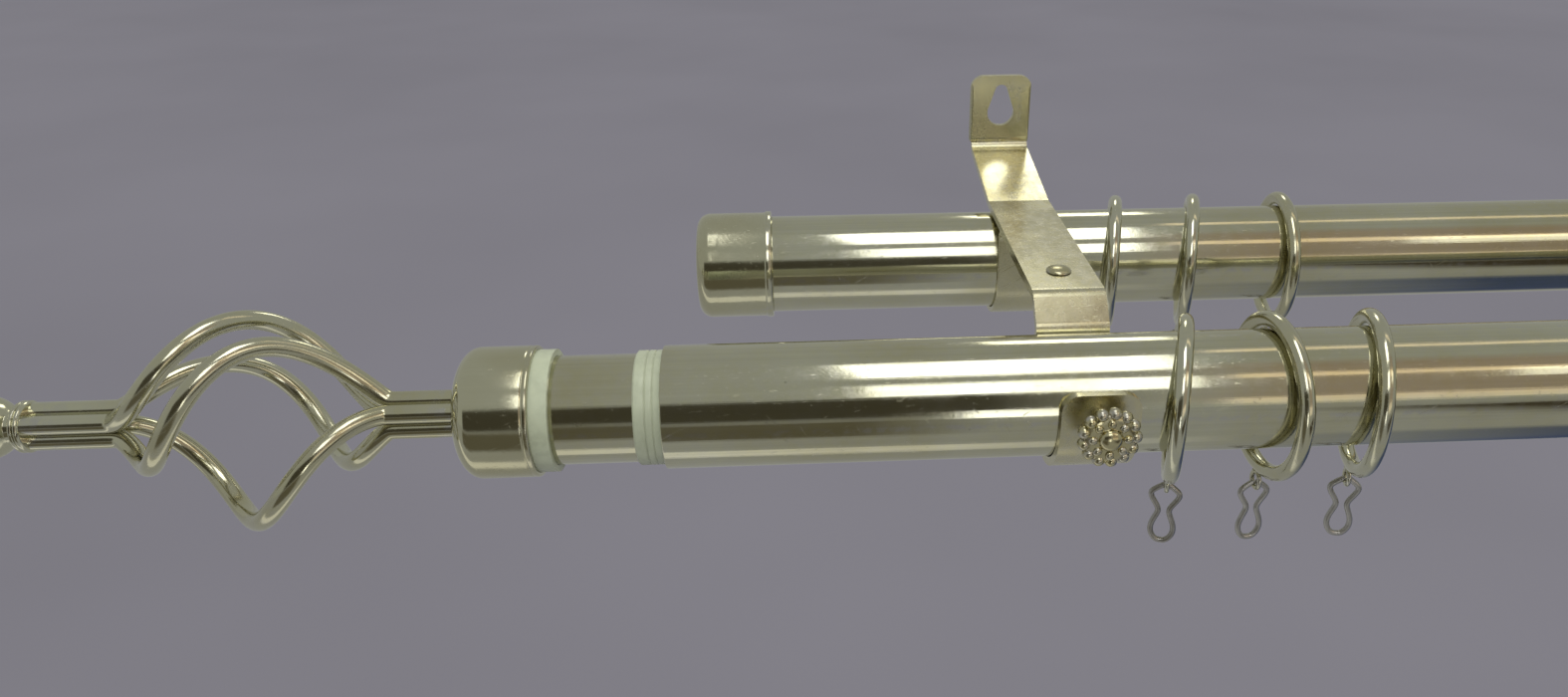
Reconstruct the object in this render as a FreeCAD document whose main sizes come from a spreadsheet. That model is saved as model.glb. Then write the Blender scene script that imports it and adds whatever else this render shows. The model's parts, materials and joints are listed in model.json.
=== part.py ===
import FreeCAD, Part
import Sketcher
import math
import os

# Double curtain pole: two telescopic tubes on a pair of folded strap brackets.
# X runs along the poles, +Y points at the wall and +Z is up. The origin is the
# screw seat of the left bracket's keyhole, on the wall face of its plate.

DRIVING = {
    # Poles
    "outer_tube_diameter": 28.0,
    "outer_tube_wall": 0.8,
    "inner_tube_diameter": 24.6,
    "inner_tube_wall": 0.8,
    "bracket_spacing": 468.0,
    "front_overhang": 96.0,
    "rear_cap_overhang": 92.7,
    "rear_mouth_overhang": 49.0,
    "inner_tube_end_gap": 36.0,
    "pole_drop": 41.0,
    "wall_to_rear_pole": 42.0,
    "pole_spacing": 88.0,
    "running_clearance": 0.05,
    "seat_clearance": 0.3,
    # Guide bushes in the mouths of the outer tubes
    "bush_collar_length": 6.0,
    "bush_collar_step": 0.7,
    "bush_sleeve_length": 22.0,
    # Cup end of the finial and its plastic adapters
    "exposed_inner_length": 18.0,
    "adapter_flange_length": 4.0,
    "adapter_flange_diameter": 27.6,
    "cup_diameter": 29.6,
    "cup_length": 17.5,
    "cup_wall": 1.0,
    "cup_dome_length": 5.0,
    "cup_boss_diameter": 15.0,
    # Basket of twisted rods
    "rod_diameter": 4.4,
    "basket_diameter": 49.5,
    "basket_length": 58.0,
    "basket_twist": 180.0,
    "inner_stem_length": 16.0,
    "outer_stem_length": 18.5,
    "tip_collar_diameter": 11.5,
    "tip_collar_length": 2.4,
    "tip_ball_diameter": 14.5,
    "tip_neck_diameter": 7.5,
    "tip_neck_length": 1.6,
    "tip_button_diameter": 6.0,
    "tip_button_length": 2.0,
    # End caps of the rear pole
    "cap_diameter": 30.4,
    "cap_length": 21.4,
    "cap_end_thickness": 1.4,
    "cap_edge_radius": 5.0,
    "cap_lip_height": 0.35,
    # Strap bracket
    "strap_width": 17.8,
    "strap_thickness": 2.0,
    "bend_radius": 2.2,
    "plate_width": 19.2,
    "plate_top": 4.8,
    "plate_bottom": -19.4,
    "plate_corner_radius": 4.0,
    "plate_edge_bevel": 1.3,
    "arm_rise": 0.9,
    "arm_bend_ahead": 2.5,
    "arm_bend_back": 22.0,
    "cradle_entry": 9.5,
    "lip_height": 8.0,
    "lip_corner_radius": 4.0,
    "keyhole_seat_radius": 2.0,
    "keyhole_entry_radius": 4.2,
    "keyhole_length": 6.8,
    # Rear cradle hook and its rivet
    "cradle_width": 17.0,
    "cradle_thickness": 1.6,
    "cradle_tab_gap": 4.7,
    "cradle_end_angle": 35.0,
    "rivet_inset": 7.0,
    "rivet_shank_diameter": 3.2,
    "rivet_head_diameter": 6.4,
    "rivet_head_height": 1.3,
    # Thumbscrew
    "screw_diameter": 4.4,
    "screw_height": 1.5,
    "screw_head_gap": 5.6,
    "rosette_diameter": 11.4,
    "rosette_thickness": 3.4,
    "rosette_bead_diameter": 2.9,
    "rosette_button_diameter": 5.2,
    "rosette_bead_count": 13.0,
    # Rings, eyes and wire hooks
    "ring_bore": 32.6,
    "ring_section": 3.8,
    "eye_wire": 1.2,
    "eye_bore": 2.8,
    "eye_shank_length": 1.7,
    "hook_wire": 1.4,
    "hook_top_width": 7.4,
    "hook_neck_width": 2.3,
    "hook_bottom_width": 5.7,
    "hook_top_height": 7.0,
    "hook_bottom_height": 9.2,
}

# Places of the rings from the left bracket, and how far each has turned about
# the vertical as it hangs.
FRONT_RINGS = ((22.3, -17.0), (44.2, 4.0), (67.0, -12.0))
REAR_RINGS = ((28.5, -14.0), (51.8, -16.0), (79.1, -5.0))

# How far each rod of the basket was bent away from an even quarter spacing.
ROD_LEAN = (19.0, -7.0, -26.0, 3.0)
ROD_PHASE = -30.0
BASKET_STATIONS = 19
SWELL_POWER = 1.15

# Facets round a bar and stations round each kind of wire or ring.
BAR_SIDES = 8
WIRE_SIDES = 6
RING_STATIONS = 28
EYE_STATIONS = 12
HOOK_STATIONS = 24

# Shares that give the outlines their character.
DOME_MIDDLE = 0.35
DOME_SWELL = 0.72
BALL_ANGLES = (70.0, 30.0)
BUTTON_SHOULDER = 0.75
CAP_SHOULDER = 0.3
CAP_EDGE_REACH = 0.72
LIP_SPREAD = 4.0
STRIP_OVERLAP = 2.0
BEVEL_FALL = 0.6
RIVET_CROWN = 0.5
SCREW_COLLAR = 1.5
HEAD_BACK = 0.4
HEAD_RIM = 0.1
HEAD_FACE = 0.6
HEAD_DISH = 0.8
HEAD_TOP = 1.2
BUTTON_FOOT = 1.3
BUTTON_CROWN = 0.6
HOOK_SHOULDER = 0.38
HOOK_BELLY = 0.62
CUT_THROUGH = 4.0

doc = FreeCAD.newDocument("DoubleCurtainPole")
sheet = doc.addObject("Spreadsheet::Sheet", "dims")
for row, (alias, number) in enumerate(DRIVING.items(), start=1):
    sheet.set(f"A{row}", alias.replace("_", " "))
    sheet.set(f"B{row}", str(number))
    sheet.setAlias(f"B{row}", alias)
doc.recompute()


class Size:
    """A length or angle that keeps the spreadsheet formula it came from."""

    def __init__(self, value, text):
        self.value = float(value)
        self.text = text

    def __float__(self):
        return self.value

    def __neg__(self):
        return Size(-self.value, f"(0 - {self.text})")

    def __add__(self, other):
        other = as_size(other)
        return Size(self.value + other.value, f"({self.text} + {other.text})")

    def __radd__(self, other):
        return as_size(other) + self

    def __sub__(self, other):
        other = as_size(other)
        return Size(self.value - other.value, f"({self.text} - {other.text})")

    def __rsub__(self, other):
        return as_size(other) - self

    def __mul__(self, other):
        other = as_size(other)
        return Size(self.value * other.value, f"({self.text} * {other.text})")

    def __rmul__(self, other):
        return as_size(other) * self

    def __truediv__(self, other):
        other = as_size(other)
        return Size(self.value / other.value, f"({self.text} / {other.text})")


def as_size(number):
    if isinstance(number, Size):
        return number
    return Size(number, repr(float(number)))


def dim(alias):
    return Size(sheet.get(alias), f"dims.{alias}")


# Derived sizes that several pieces share.
OUTER_R = dim("outer_tube_diameter") / 2
OUTER_BORE_R = OUTER_R - dim("outer_tube_wall")
INNER_R = dim("inner_tube_diameter") / 2
INNER_BORE_R = INNER_R - dim("inner_tube_wall")
RUNNING = dim("running_clearance")
SEAT = dim("seat_clearance")
POLE_Z = -dim("pole_drop")
REAR_Y = -dim("wall_to_rear_pole")
FRONT_Y = REAR_Y - dim("pole_spacing")
SPACING = dim("bracket_spacing")
MOUTH_X = -dim("front_overhang")
FRONT_END_X = SPACING + dim("front_overhang")
REAR_START_X = -dim("rear_cap_overhang")
REAR_MOUTH_X = SPACING + dim("rear_mouth_overhang")
ROD_R = dim("rod_diameter") / 2
STRAP = dim("strap_thickness")
CRADLE_R = OUTER_R + SEAT
WHOLE_TURN = 360.0
POINT_TOLERANCE = 1e-6
EDGE_TOLERANCE = 1e-3
ABOUT_X = (1, 0, 0)
ABOUT_Y = (0, 1, 0)
ABOUT_Z = (0, 0, 1)
SUBPARTS = []


def bind(thing, prop, amount):
    thing.setExpression(prop, as_size(amount).text)


def place(thing, x=0.0, y=0.0, z=0.0, axis=None, angle=0.0):
    """Puts a sub-part at its place and ties that place to the sheet."""
    turn = FreeCAD.Rotation(FreeCAD.Vector(*axis), angle) if axis else FreeCAD.Rotation()
    base = FreeCAD.Vector(float(x), float(y), float(z))
    thing.Placement = FreeCAD.Placement(base, turn)
    for name, amount in (("x", x), ("y", y), ("z", z)):
        if isinstance(amount, Size):
            bind(thing, f"Placement.Base.{name}", amount)


def keep(thing, node):
    thing.Label = node
    SUBPARTS.append(thing)
    return thing


def origin_plane(body, role):
    return next(item for item in body.Origin.OriginFeatures if item.Role == role)


def pin_point(sketch, geo, end, across, up):
    """Fixes one end of a sketch line by its two coordinates."""
    for kind, amount, axis in (("DistanceX", across, -2), ("DistanceY", up, -1)):
        if abs(float(amount)) < POINT_TOLERANCE:
            sketch.addConstraint(Sketcher.Constraint("PointOnObject", geo, end, axis))
        else:
            index = sketch.addConstraint(Sketcher.Constraint(kind, -1, 1, geo, end, float(amount)))
            if isinstance(amount, Size):
                bind(sketch, f"Constraints[{index}]", amount)


def closed_outline(sketch, corners):
    """Draws a closed outline of straight edges through corners given as sizes."""
    points = [FreeCAD.Vector(float(a), float(b), 0) for a, b in corners]
    count = len(points)
    for index in range(count):
        sketch.addGeometry(Part.LineSegment(points[index], points[(index + 1) % count]), False)
    for index in range(count):
        sketch.addConstraint(Sketcher.Constraint("Coincident", index, 2, (index + 1) % count, 1))
        pin_point(sketch, index, 1, *corners[index])


def turned(node, corners):
    """A piece turned about X from the outline of its half section."""
    body = doc.addObject("PartDesign::Body", f"{node}_body")
    sketch = body.newObject("Sketcher::SketchObject", f"{node}_section")
    sketch.AttachmentSupport = [(origin_plane(body, "XZ_Plane"), "")]
    sketch.MapMode = "FlatFace"
    closed_outline(sketch, corners)
    turning = body.newObject("PartDesign::Revolution", f"{node}_turning")
    turning.Profile = sketch
    turning.ReferenceAxis = (sketch, ["H_Axis"])
    turning.Angle = WHOLE_TURN
    body.Tip = turning
    return keep(body, node)


def tube(node, radius, bore, length, x, y):
    """A plain round tube along X, cut from two cylinders."""
    turn = FreeCAD.Rotation(FreeCAD.Vector(0, 1, 0), 90)
    solids = []
    for part_name, size in (("wall", radius), ("bore", bore)):
        cylinder = doc.addObject("Part::Cylinder", f"{node}_{part_name}")
        bind(cylinder, "Radius", size)
        bind(cylinder, "Height", length)
        cylinder.Placement = FreeCAD.Placement(FreeCAD.Vector(), turn)
        solids.append(cylinder)
    cut = doc.addObject("Part::Cut", f"{node}_tube")
    cut.Base, cut.Tool = solids
    place(cut, x, y, POLE_Z)
    return keep(cut, node)


def cosine(degrees):
    return math.cos(math.radians(degrees))


def sine(degrees):
    return math.sin(math.radians(degrees))


def flat_facet(*corners):
    """A plane face through the corners."""
    return Part.Face(Part.makePolygon([*corners, corners[0]]))


def cross_sections(centres, outward, radius, sides, closed):
    """Outlines square to a line of stations, each turned to its outward direction."""
    sections = []
    last = len(centres) - 1
    for i, (centre, spoke) in enumerate(zip(centres, outward)):
        before = centres[i - 1] if closed or i > 0 else centre
        after = centres[(i + 1) % len(centres)] if closed or i < last else centre
        along = (after - before).normalize()
        across = along.cross(spoke).normalize()
        out = across.cross(along)
        sections.append([centre + out * (radius * cosine(turn)) + across * (radius * sine(turn))
                         for turn in (WHOLE_TURN * side / sides for side in range(sides))])
    return sections


def faceted_bar(centres, outward, radius, sides, closed):
    """A solid bar of small flat facets along a line of stations."""
    sections = cross_sections(centres, outward, radius, sides, closed)
    followers = sections[1:] + sections[:1] if closed else sections[1:]
    faces = []
    for near, far in zip(sections, followers):
        for i in range(sides):
            j = (i + 1) % sides
            faces.append(flat_facet(near[i], near[j], far[j]))
            faces.append(flat_facet(near[i], far[j], far[i]))
    if not closed:
        faces.append(flat_facet(*reversed(sections[0])))
        faces.append(flat_facet(*sections[-1]))
    solid = Part.makeSolid(Part.makeShell(faces))
    if solid.Volume < 0:
        solid.reverse()
    return solid


def poles():
    front_length = FRONT_END_X - MOUTH_X
    tube("front_outer_tube", OUTER_R, OUTER_BORE_R, front_length, MOUTH_X, FRONT_Y)
    rear_length = REAR_MOUTH_X - REAR_START_X
    tube("rear_outer_tube", OUTER_R, OUTER_BORE_R, rear_length, REAR_START_X, REAR_Y)

    hidden = dim("inner_tube_end_gap")
    reach = dim("exposed_inner_length") + dim("bush_collar_length")
    socket = dim("cup_length") - dim("cup_wall") - dim("cup_dome_length")
    front_start = MOUTH_X - reach - dim("adapter_flange_length") - socket
    front_inner = FRONT_END_X - hidden - front_start
    tube("front_inner_tube", INNER_R, INNER_BORE_R, front_inner, front_start, FRONT_Y)
    rear_start = REAR_START_X + hidden
    rear_inner = REAR_MOUTH_X + dim("bush_collar_length") + dim("exposed_inner_length") - rear_start
    cap_depth = dim("cap_length") - dim("cap_end_thickness") - SEAT
    tube("rear_inner_tube", INNER_R, INNER_BORE_R, rear_inner + cap_depth, rear_start, REAR_Y)


def guide_bush(node, mouth, y, facing):
    """A pale collar and sleeve that centres the inner tube in the outer one."""
    sleeve = dim("bush_sleeve_length")
    collar = dim("bush_collar_length")
    inside = INNER_R + RUNNING
    sleeve_r = OUTER_BORE_R - RUNNING
    collar_r = INNER_R + dim("bush_collar_step")
    body = turned(node, [(0, inside), (sleeve + collar, inside), (sleeve + collar, sleeve_r),
                         (collar, sleeve_r), (collar, collar_r), (0, collar_r)])
    if facing < 0:
        place(body, mouth - collar, y, POLE_Z)
    else:
        place(body, mouth + collar, y, POLE_Z, ABOUT_Z, 180)


def finial_cup(node, x, facing):
    """A thin domed cup whose closed end carries the rods."""
    wall = dim("cup_wall")
    radius = dim("cup_diameter") / 2
    boss = dim("cup_boss_diameter") / 2
    dome = dim("cup_dome_length")
    length = dim("cup_length")
    mid = dome * DOME_MIDDLE
    mid_r = boss + (radius - boss) * DOME_SWELL
    body = turned(node, [(0, 0), (0, boss), (mid, mid_r), (dome, radius), (length, radius),
                         (length, radius - wall), (dome, radius - wall),
                         (wall, boss - wall), (wall, 0)])
    if facing < 0:
        place(body, x, FRONT_Y, POLE_Z)
    else:
        place(body, x, FRONT_Y, POLE_Z, ABOUT_Z, 180)


def finial_tip(node, x, facing):
    """Turned end of the finial: collar, ball, neck and button."""
    collar = dim("tip_collar_length")
    collar_r = dim("tip_collar_diameter") / 2
    ball_r = dim("tip_ball_diameter") / 2
    neck_r = dim("tip_neck_diameter") / 2
    button_r = dim("tip_button_diameter") / 2
    half_neck = dim("tip_neck_length") / 2
    ball_x = collar + half_neck + ball_r
    button_x = ball_x + ball_r + half_neck
    end = button_x + dim("tip_button_length")
    rise = [(ball_x - ball_r * cosine(angle), ball_r * sine(angle)) for angle in reversed(BALL_ANGLES)]
    fall = [(ball_x + ball_r * cosine(angle), ball_r * sine(angle)) for angle in BALL_ANGLES]
    body = turned(node, [(0, 0), (0, collar_r), (collar, collar_r), (collar, neck_r), *rise, *fall,
                         (button_x, neck_r * BUTTON_SHOULDER), (button_x, button_r),
                         (end, button_r * BUTTON_SHOULDER), (end, 0)])
    if facing < 0:
        place(body, x, FRONT_Y, POLE_Z, ABOUT_Z, 180)
    else:
        place(body, x, FRONT_Y, POLE_Z)


def rod_line(index, facing, start):
    """Centre line of one rod: straight, a twisted bulge, and straight again."""
    bundle_r = ROD_R.value * math.sqrt(2) + RUNNING.value
    bulge_r = dim("basket_diameter").value / 2 - ROD_R.value
    length = dim("basket_length").value
    twist = dim("basket_twist").value
    inner_stem = dim("inner_stem_length").value
    outer_stem = dim("outer_stem_length").value
    outward = []
    centres = []
    for station in range(BASKET_STATIONS):
        share = station / (BASKET_STATIONS - 1)
        radius = bundle_r + (bulge_r - bundle_r) * math.sin(math.pi * share) ** SWELL_POWER
        turned_by = ROD_PHASE + WHOLE_TURN * index / len(ROD_LEAN) + twist * share - twist / 2
        turned_by += ROD_LEAN[index] * math.sin(math.pi * share) ** 2
        angle = math.radians(turned_by)
        spoke = FreeCAD.Vector(0, -facing * math.cos(angle), math.sin(angle))
        along = start.value + facing * (inner_stem + length * share)
        outward.append(spoke)
        centres.append(FreeCAD.Vector(along, FRONT_Y.value, POLE_Z.value) + spoke * radius)
    stem_shift = FreeCAD.Vector(facing, 0, 0)
    centres = [centres[0] - stem_shift * inner_stem, *centres, centres[-1] + stem_shift * outer_stem]
    return centres, [outward[0], *outward, outward[-1]]


def finial_rods(side, facing, start):
    """Four round rods, bundled at both ends and sprung apart into a basket."""
    for index in range(len(ROD_LEAN)):
        node = f"finial_rod_{side}_{index + 1}"
        centres, outward = rod_line(index, facing, start)
        rod = doc.addObject("Part::Feature", node)
        rod.Shape = faceted_bar(centres, outward, ROD_R.value, BAR_SIDES, False)
        keep(rod, node)


def finials():
    cup_wall = dim("cup_wall")
    cup_inside = dim("cup_diameter") / 2 - cup_wall
    socket = dim("cup_length") - dim("cup_dome_length") - cup_wall
    flange = dim("adapter_flange_length")
    flange_r = dim("adapter_flange_diameter") / 2
    inner_hole = INNER_R + RUNNING
    reach = dim("exposed_inner_length") + dim("bush_collar_length")

    cup_mouth = MOUTH_X - reach - flange
    adapter = turned("finial_adapter_left",
                     [(0, inner_hole), (socket + flange, inner_hole), (socket + flange, flange_r),
                      (socket, flange_r), (socket, cup_inside - RUNNING), (0, cup_inside - RUNNING)])
    place(adapter, cup_mouth - socket, FRONT_Y, POLE_Z)
    cup_back = cup_mouth - dim("cup_length")
    finial_cup("finial_cup_left", cup_back, -1)
    finial_rods("left", -1, cup_back)
    rod_end = dim("inner_stem_length") + dim("basket_length") + dim("outer_stem_length")
    finial_tip("finial_tip_left", cup_back - rod_end, -1)

    plug_r = OUTER_BORE_R - RUNNING
    plug = turned("finial_plug_right",
                  [(0, inner_hole), (socket * 2 + flange, inner_hole),
                   (socket * 2 + flange, cup_inside - RUNNING), (socket + flange, cup_inside - RUNNING),
                   (socket + flange, flange_r), (socket, flange_r), (socket, plug_r), (0, plug_r)])
    place(plug, FRONT_END_X - socket, FRONT_Y, POLE_Z)
    right_back = FRONT_END_X + flange + dim("cup_length")
    finial_cup("finial_cup_right", right_back, 1)
    finial_rods("right", 1, right_back)
    finial_tip("finial_tip_right", right_back + rod_end, 1)


def end_cap(node, x, facing):
    """A drawn cap with a rounded end and a thin raised lip at its mouth."""
    radius = dim("cap_diameter") / 2
    hole = OUTER_R + RUNNING
    length = dim("cap_length")
    lip = dim("cap_lip_height")
    lip_length = lip * LIP_SPREAD
    end = dim("cap_end_thickness")
    edge = dim("cap_edge_radius") * CAP_EDGE_REACH
    body = turned(node, [(0, 0), (0, radius - edge), (edge * CAP_SHOULDER, radius - edge * CAP_SHOULDER),
                         (edge, radius), (length - lip_length, radius),
                         (length - lip_length, radius + lip), (length, radius + lip),
                         (length, hole), (end, hole), (end, 0)])
    if facing < 0:
        place(body, x, REAR_Y, POLE_Z)
    else:
        place(body, x, REAR_Y, POLE_Z, ABOUT_Z, 180)


def rear_ends():
    depth = dim("cap_length") - dim("cap_end_thickness")
    end_cap("rear_cap_left", REAR_START_X - dim("cap_end_thickness") - SEAT, -1)
    reach = dim("bush_collar_length") + dim("exposed_inner_length")
    sleeve = turned("rear_cap_sleeve", [(0, INNER_R + RUNNING), (depth - SEAT, INNER_R + RUNNING),
                                        (depth - SEAT, OUTER_R), (0, OUTER_R)])
    place(sleeve, REAR_MOUTH_X + reach, REAR_Y, POLE_Z)
    end_cap("rear_cap_right", REAR_MOUTH_X + reach + dim("cap_length"), 1)


def folded_path(name, corners, thickness, arc_centre, arc_radius, arc_angles):
    """A side-view line of straight runs and small bends, with a round cradle after it.

    The sheet lies on the line's right, so a bend to the right has the larger, outer radius.
    """
    sketch = doc.addObject("Sketcher::SketchObject", name)
    turn = FreeCAD.Rotation(FreeCAD.Vector(1, 1, 1), 120)
    sketch.Placement = FreeCAD.Placement(FreeCAD.Vector(), turn)
    points = [FreeCAD.Vector(float(a), float(b), 0) for a, b in corners]
    cursor = points[0]
    previous = None
    for index in range(1, len(points)):
        stop, bow, go_on = points[index], None, None
        if index < len(points) - 1:
            before, corner, after = points[index - 1:index + 2]
            to_left = (corner - before).cross(after - corner).z > 0
            radius = dim("bend_radius") if to_left else dim("bend_radius") + thickness
            stop, bow, go_on = bend_points(before, corner, after, radius.value)
        line = sketch.addGeometry(Part.LineSegment(cursor, stop), False)
        if previous is None:
            pin_point(sketch, line, 1, *corners[0])
        else:
            join_bend(sketch, previous, line, corners[index - 1])
        if bow is not None:
            points_on_arc = (stop, bow, go_on) if to_left else (go_on, bow, stop)
            arc = sketch.addGeometry(Part.Arc(*points_on_arc), False)
            previous = (line, arc, (1, 2) if to_left else (2, 1), radius)
            cursor = go_on
    pin_point(sketch, line, 2, *corners[-1])
    centre = FreeCAD.Vector(float(arc_centre[0]), float(arc_centre[1]), 0)
    circle = Part.Circle(centre, FreeCAD.Vector(0, 0, 1), float(arc_radius))
    first, last = (math.radians(float(angle)) for angle in arc_angles)
    cradle = sketch.addGeometry(Part.ArcOfCircle(circle, first, last), False)
    pin_point(sketch, cradle, 3, *arc_centre)
    return sketch, line, cradle


def bend_points(before, corner, after, radius):
    """Where a bend starts, bows and ends at a corner."""
    back = (before - corner).normalize()
    ahead = (after - corner).normalize()
    half = math.acos(max(-1.0, min(1.0, back.dot(ahead)))) / 2
    cut_back = radius / math.tan(half)
    bow = corner + (back + ahead).normalize() * (radius / math.sin(half) - radius)
    return corner + back * cut_back, bow, corner + ahead * cut_back


def join_bend(sketch, previous, line, corner):
    """Ties two runs to the bend between them and the bend to its corner."""
    first, arc, (near, far), radius = previous
    sketch.addConstraint(Sketcher.Constraint("Tangent", first, 2, arc, near))
    sketch.addConstraint(Sketcher.Constraint("Tangent", arc, far, line, 1))
    index = sketch.addConstraint(Sketcher.Constraint("Radius", arc, radius.value))
    bind(sketch, f"Constraints[{index}]", radius)
    mark = sketch.addGeometry(Part.Point(FreeCAD.Vector(float(corner[0]), float(corner[1]), 0)), True)
    pin_point(sketch, mark, 1, *corner)
    sketch.addConstraint(Sketcher.Constraint("PointOnObject", mark, 1, first))
    sketch.addConstraint(Sketcher.Constraint("PointOnObject", mark, 1, line))


def folded_strip(name, sketch, thickness, width):
    """Thickens the side-view line into sheet and gives it the strap's width."""
    strip = doc.addObject("Part::Offset2D", f"{name}_sheet")
    strip.Source = sketch
    strip.Mode = "Skin"
    strip.Fill = True
    bind(strip, "Value", thickness)
    wide = doc.addObject("Part::Extrusion", f"{name}_strip")
    wide.Base = strip
    wide.DirMode = "Custom"
    wide.Dir = FreeCAD.Vector(1, 0, 0)
    wide.Symmetric = True
    wide.Solid = True
    bind(wide, "LengthFwd", width)
    return wide


def edge_numbers(shape, test):
    return [i for i, edge in enumerate(shape.Edges, start=1) if test(edge)]


def rounded(name, base, radius, test):
    """A copy of a solid with the edges that the test picks rounded."""
    doc.recompute()
    smooth = doc.addObject("Part::Fillet", name)
    smooth.Base = base
    smooth.Edges = [(i, radius.value, radius.value) for i in edge_numbers(base.Shape, test)]
    return smooth


def runs_along(edge, axis, **where):
    """Tells whether a straight edge runs along an axis at the given coordinates."""
    box = edge.BoundBox
    spans = {"x": (box.XMin, box.XMax), "y": (box.YMin, box.YMax), "z": (box.ZMin, box.ZMax)}
    if spans[axis][1] - spans[axis][0] < EDGE_TOLERANCE:
        return False
    for name, value in where.items():
        if any(abs(end - float(value)) > EDGE_TOLERANCE for end in spans[name]):
            return False
    return True


def keyhole_cutter(name):
    """A teardrop that lets a screw head in below and seats its neck above."""
    sketch = doc.addObject("Sketcher::SketchObject", f"{name}_outline")
    sketch.Placement = FreeCAD.Placement(FreeCAD.Vector(), FreeCAD.Rotation(FreeCAD.Vector(1, 0, 0), 90))
    small, large = dim("keyhole_seat_radius"), dim("keyhole_entry_radius")
    gap = dim("keyhole_length")
    lean = math.asin((large.value - small.value) / gap.value)
    up = FreeCAD.Vector(0, 0, 1)
    top = Part.Circle(FreeCAD.Vector(0, 0, 0), up, small.value)
    bottom = Part.Circle(FreeCAD.Vector(0, -gap.value, 0), up, large.value)
    upper = sketch.addGeometry(Part.ArcOfCircle(top, lean, math.pi - lean), False)
    lower = sketch.addGeometry(Part.ArcOfCircle(bottom, math.pi - lean, 2 * math.pi + lean), False)
    left = sketch.addGeometry(Part.LineSegment(sketch.Geometry[upper].EndPoint,
                                               sketch.Geometry[lower].StartPoint), False)
    right = sketch.addGeometry(Part.LineSegment(sketch.Geometry[lower].EndPoint,
                                                sketch.Geometry[upper].StartPoint), False)
    sketch.addConstraint(Sketcher.Constraint("Coincident", upper, 3, -1, 1))
    pin_point(sketch, lower, 3, 0, -gap)
    for arc, amount in ((upper, small), (lower, large)):
        index = sketch.addConstraint(Sketcher.Constraint("Radius", arc, amount.value))
        bind(sketch, f"Constraints[{index}]", amount)
    for one, end, other, start in ((upper, 2, left, 1), (left, 2, lower, 1),
                                   (lower, 2, right, 1), (right, 2, upper, 1)):
        sketch.addConstraint(Sketcher.Constraint("Tangent", one, end, other, start))
    cutter = doc.addObject("Part::Extrusion", f"{name}_cutter")
    cutter.Base = sketch
    cutter.DirMode = "Custom"
    cutter.Dir = FreeCAD.Vector(0, 1, 0)
    cutter.Symmetric = True
    cutter.Solid = True
    bind(cutter, "LengthFwd", STRAP * CUT_THROUGH)
    return cutter


def round_hole(name, radius, length, x, y, z, axis, angle):
    """A cutting cylinder whose middle is at the given place."""
    cutter = doc.addObject("Part::Cylinder", name)
    bind(cutter, "Radius", radius)
    bind(cutter, "Height", length)
    place(cutter, x, y, z, axis, angle)
    return cutter


ARM_UNDER_Z = POLE_Z + CRADLE_R + dim("arm_rise")
LIP_OUTER_Y = FRONT_Y - CRADLE_R - STRAP
TAB_FRONT_Y = FRONT_Y + dim("arm_bend_back") + dim("cradle_tab_gap")
RIVET_Y = TAB_FRONT_Y + dim("rivet_inset")
SCREW_Z = POLE_Z + dim("screw_height")


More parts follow.
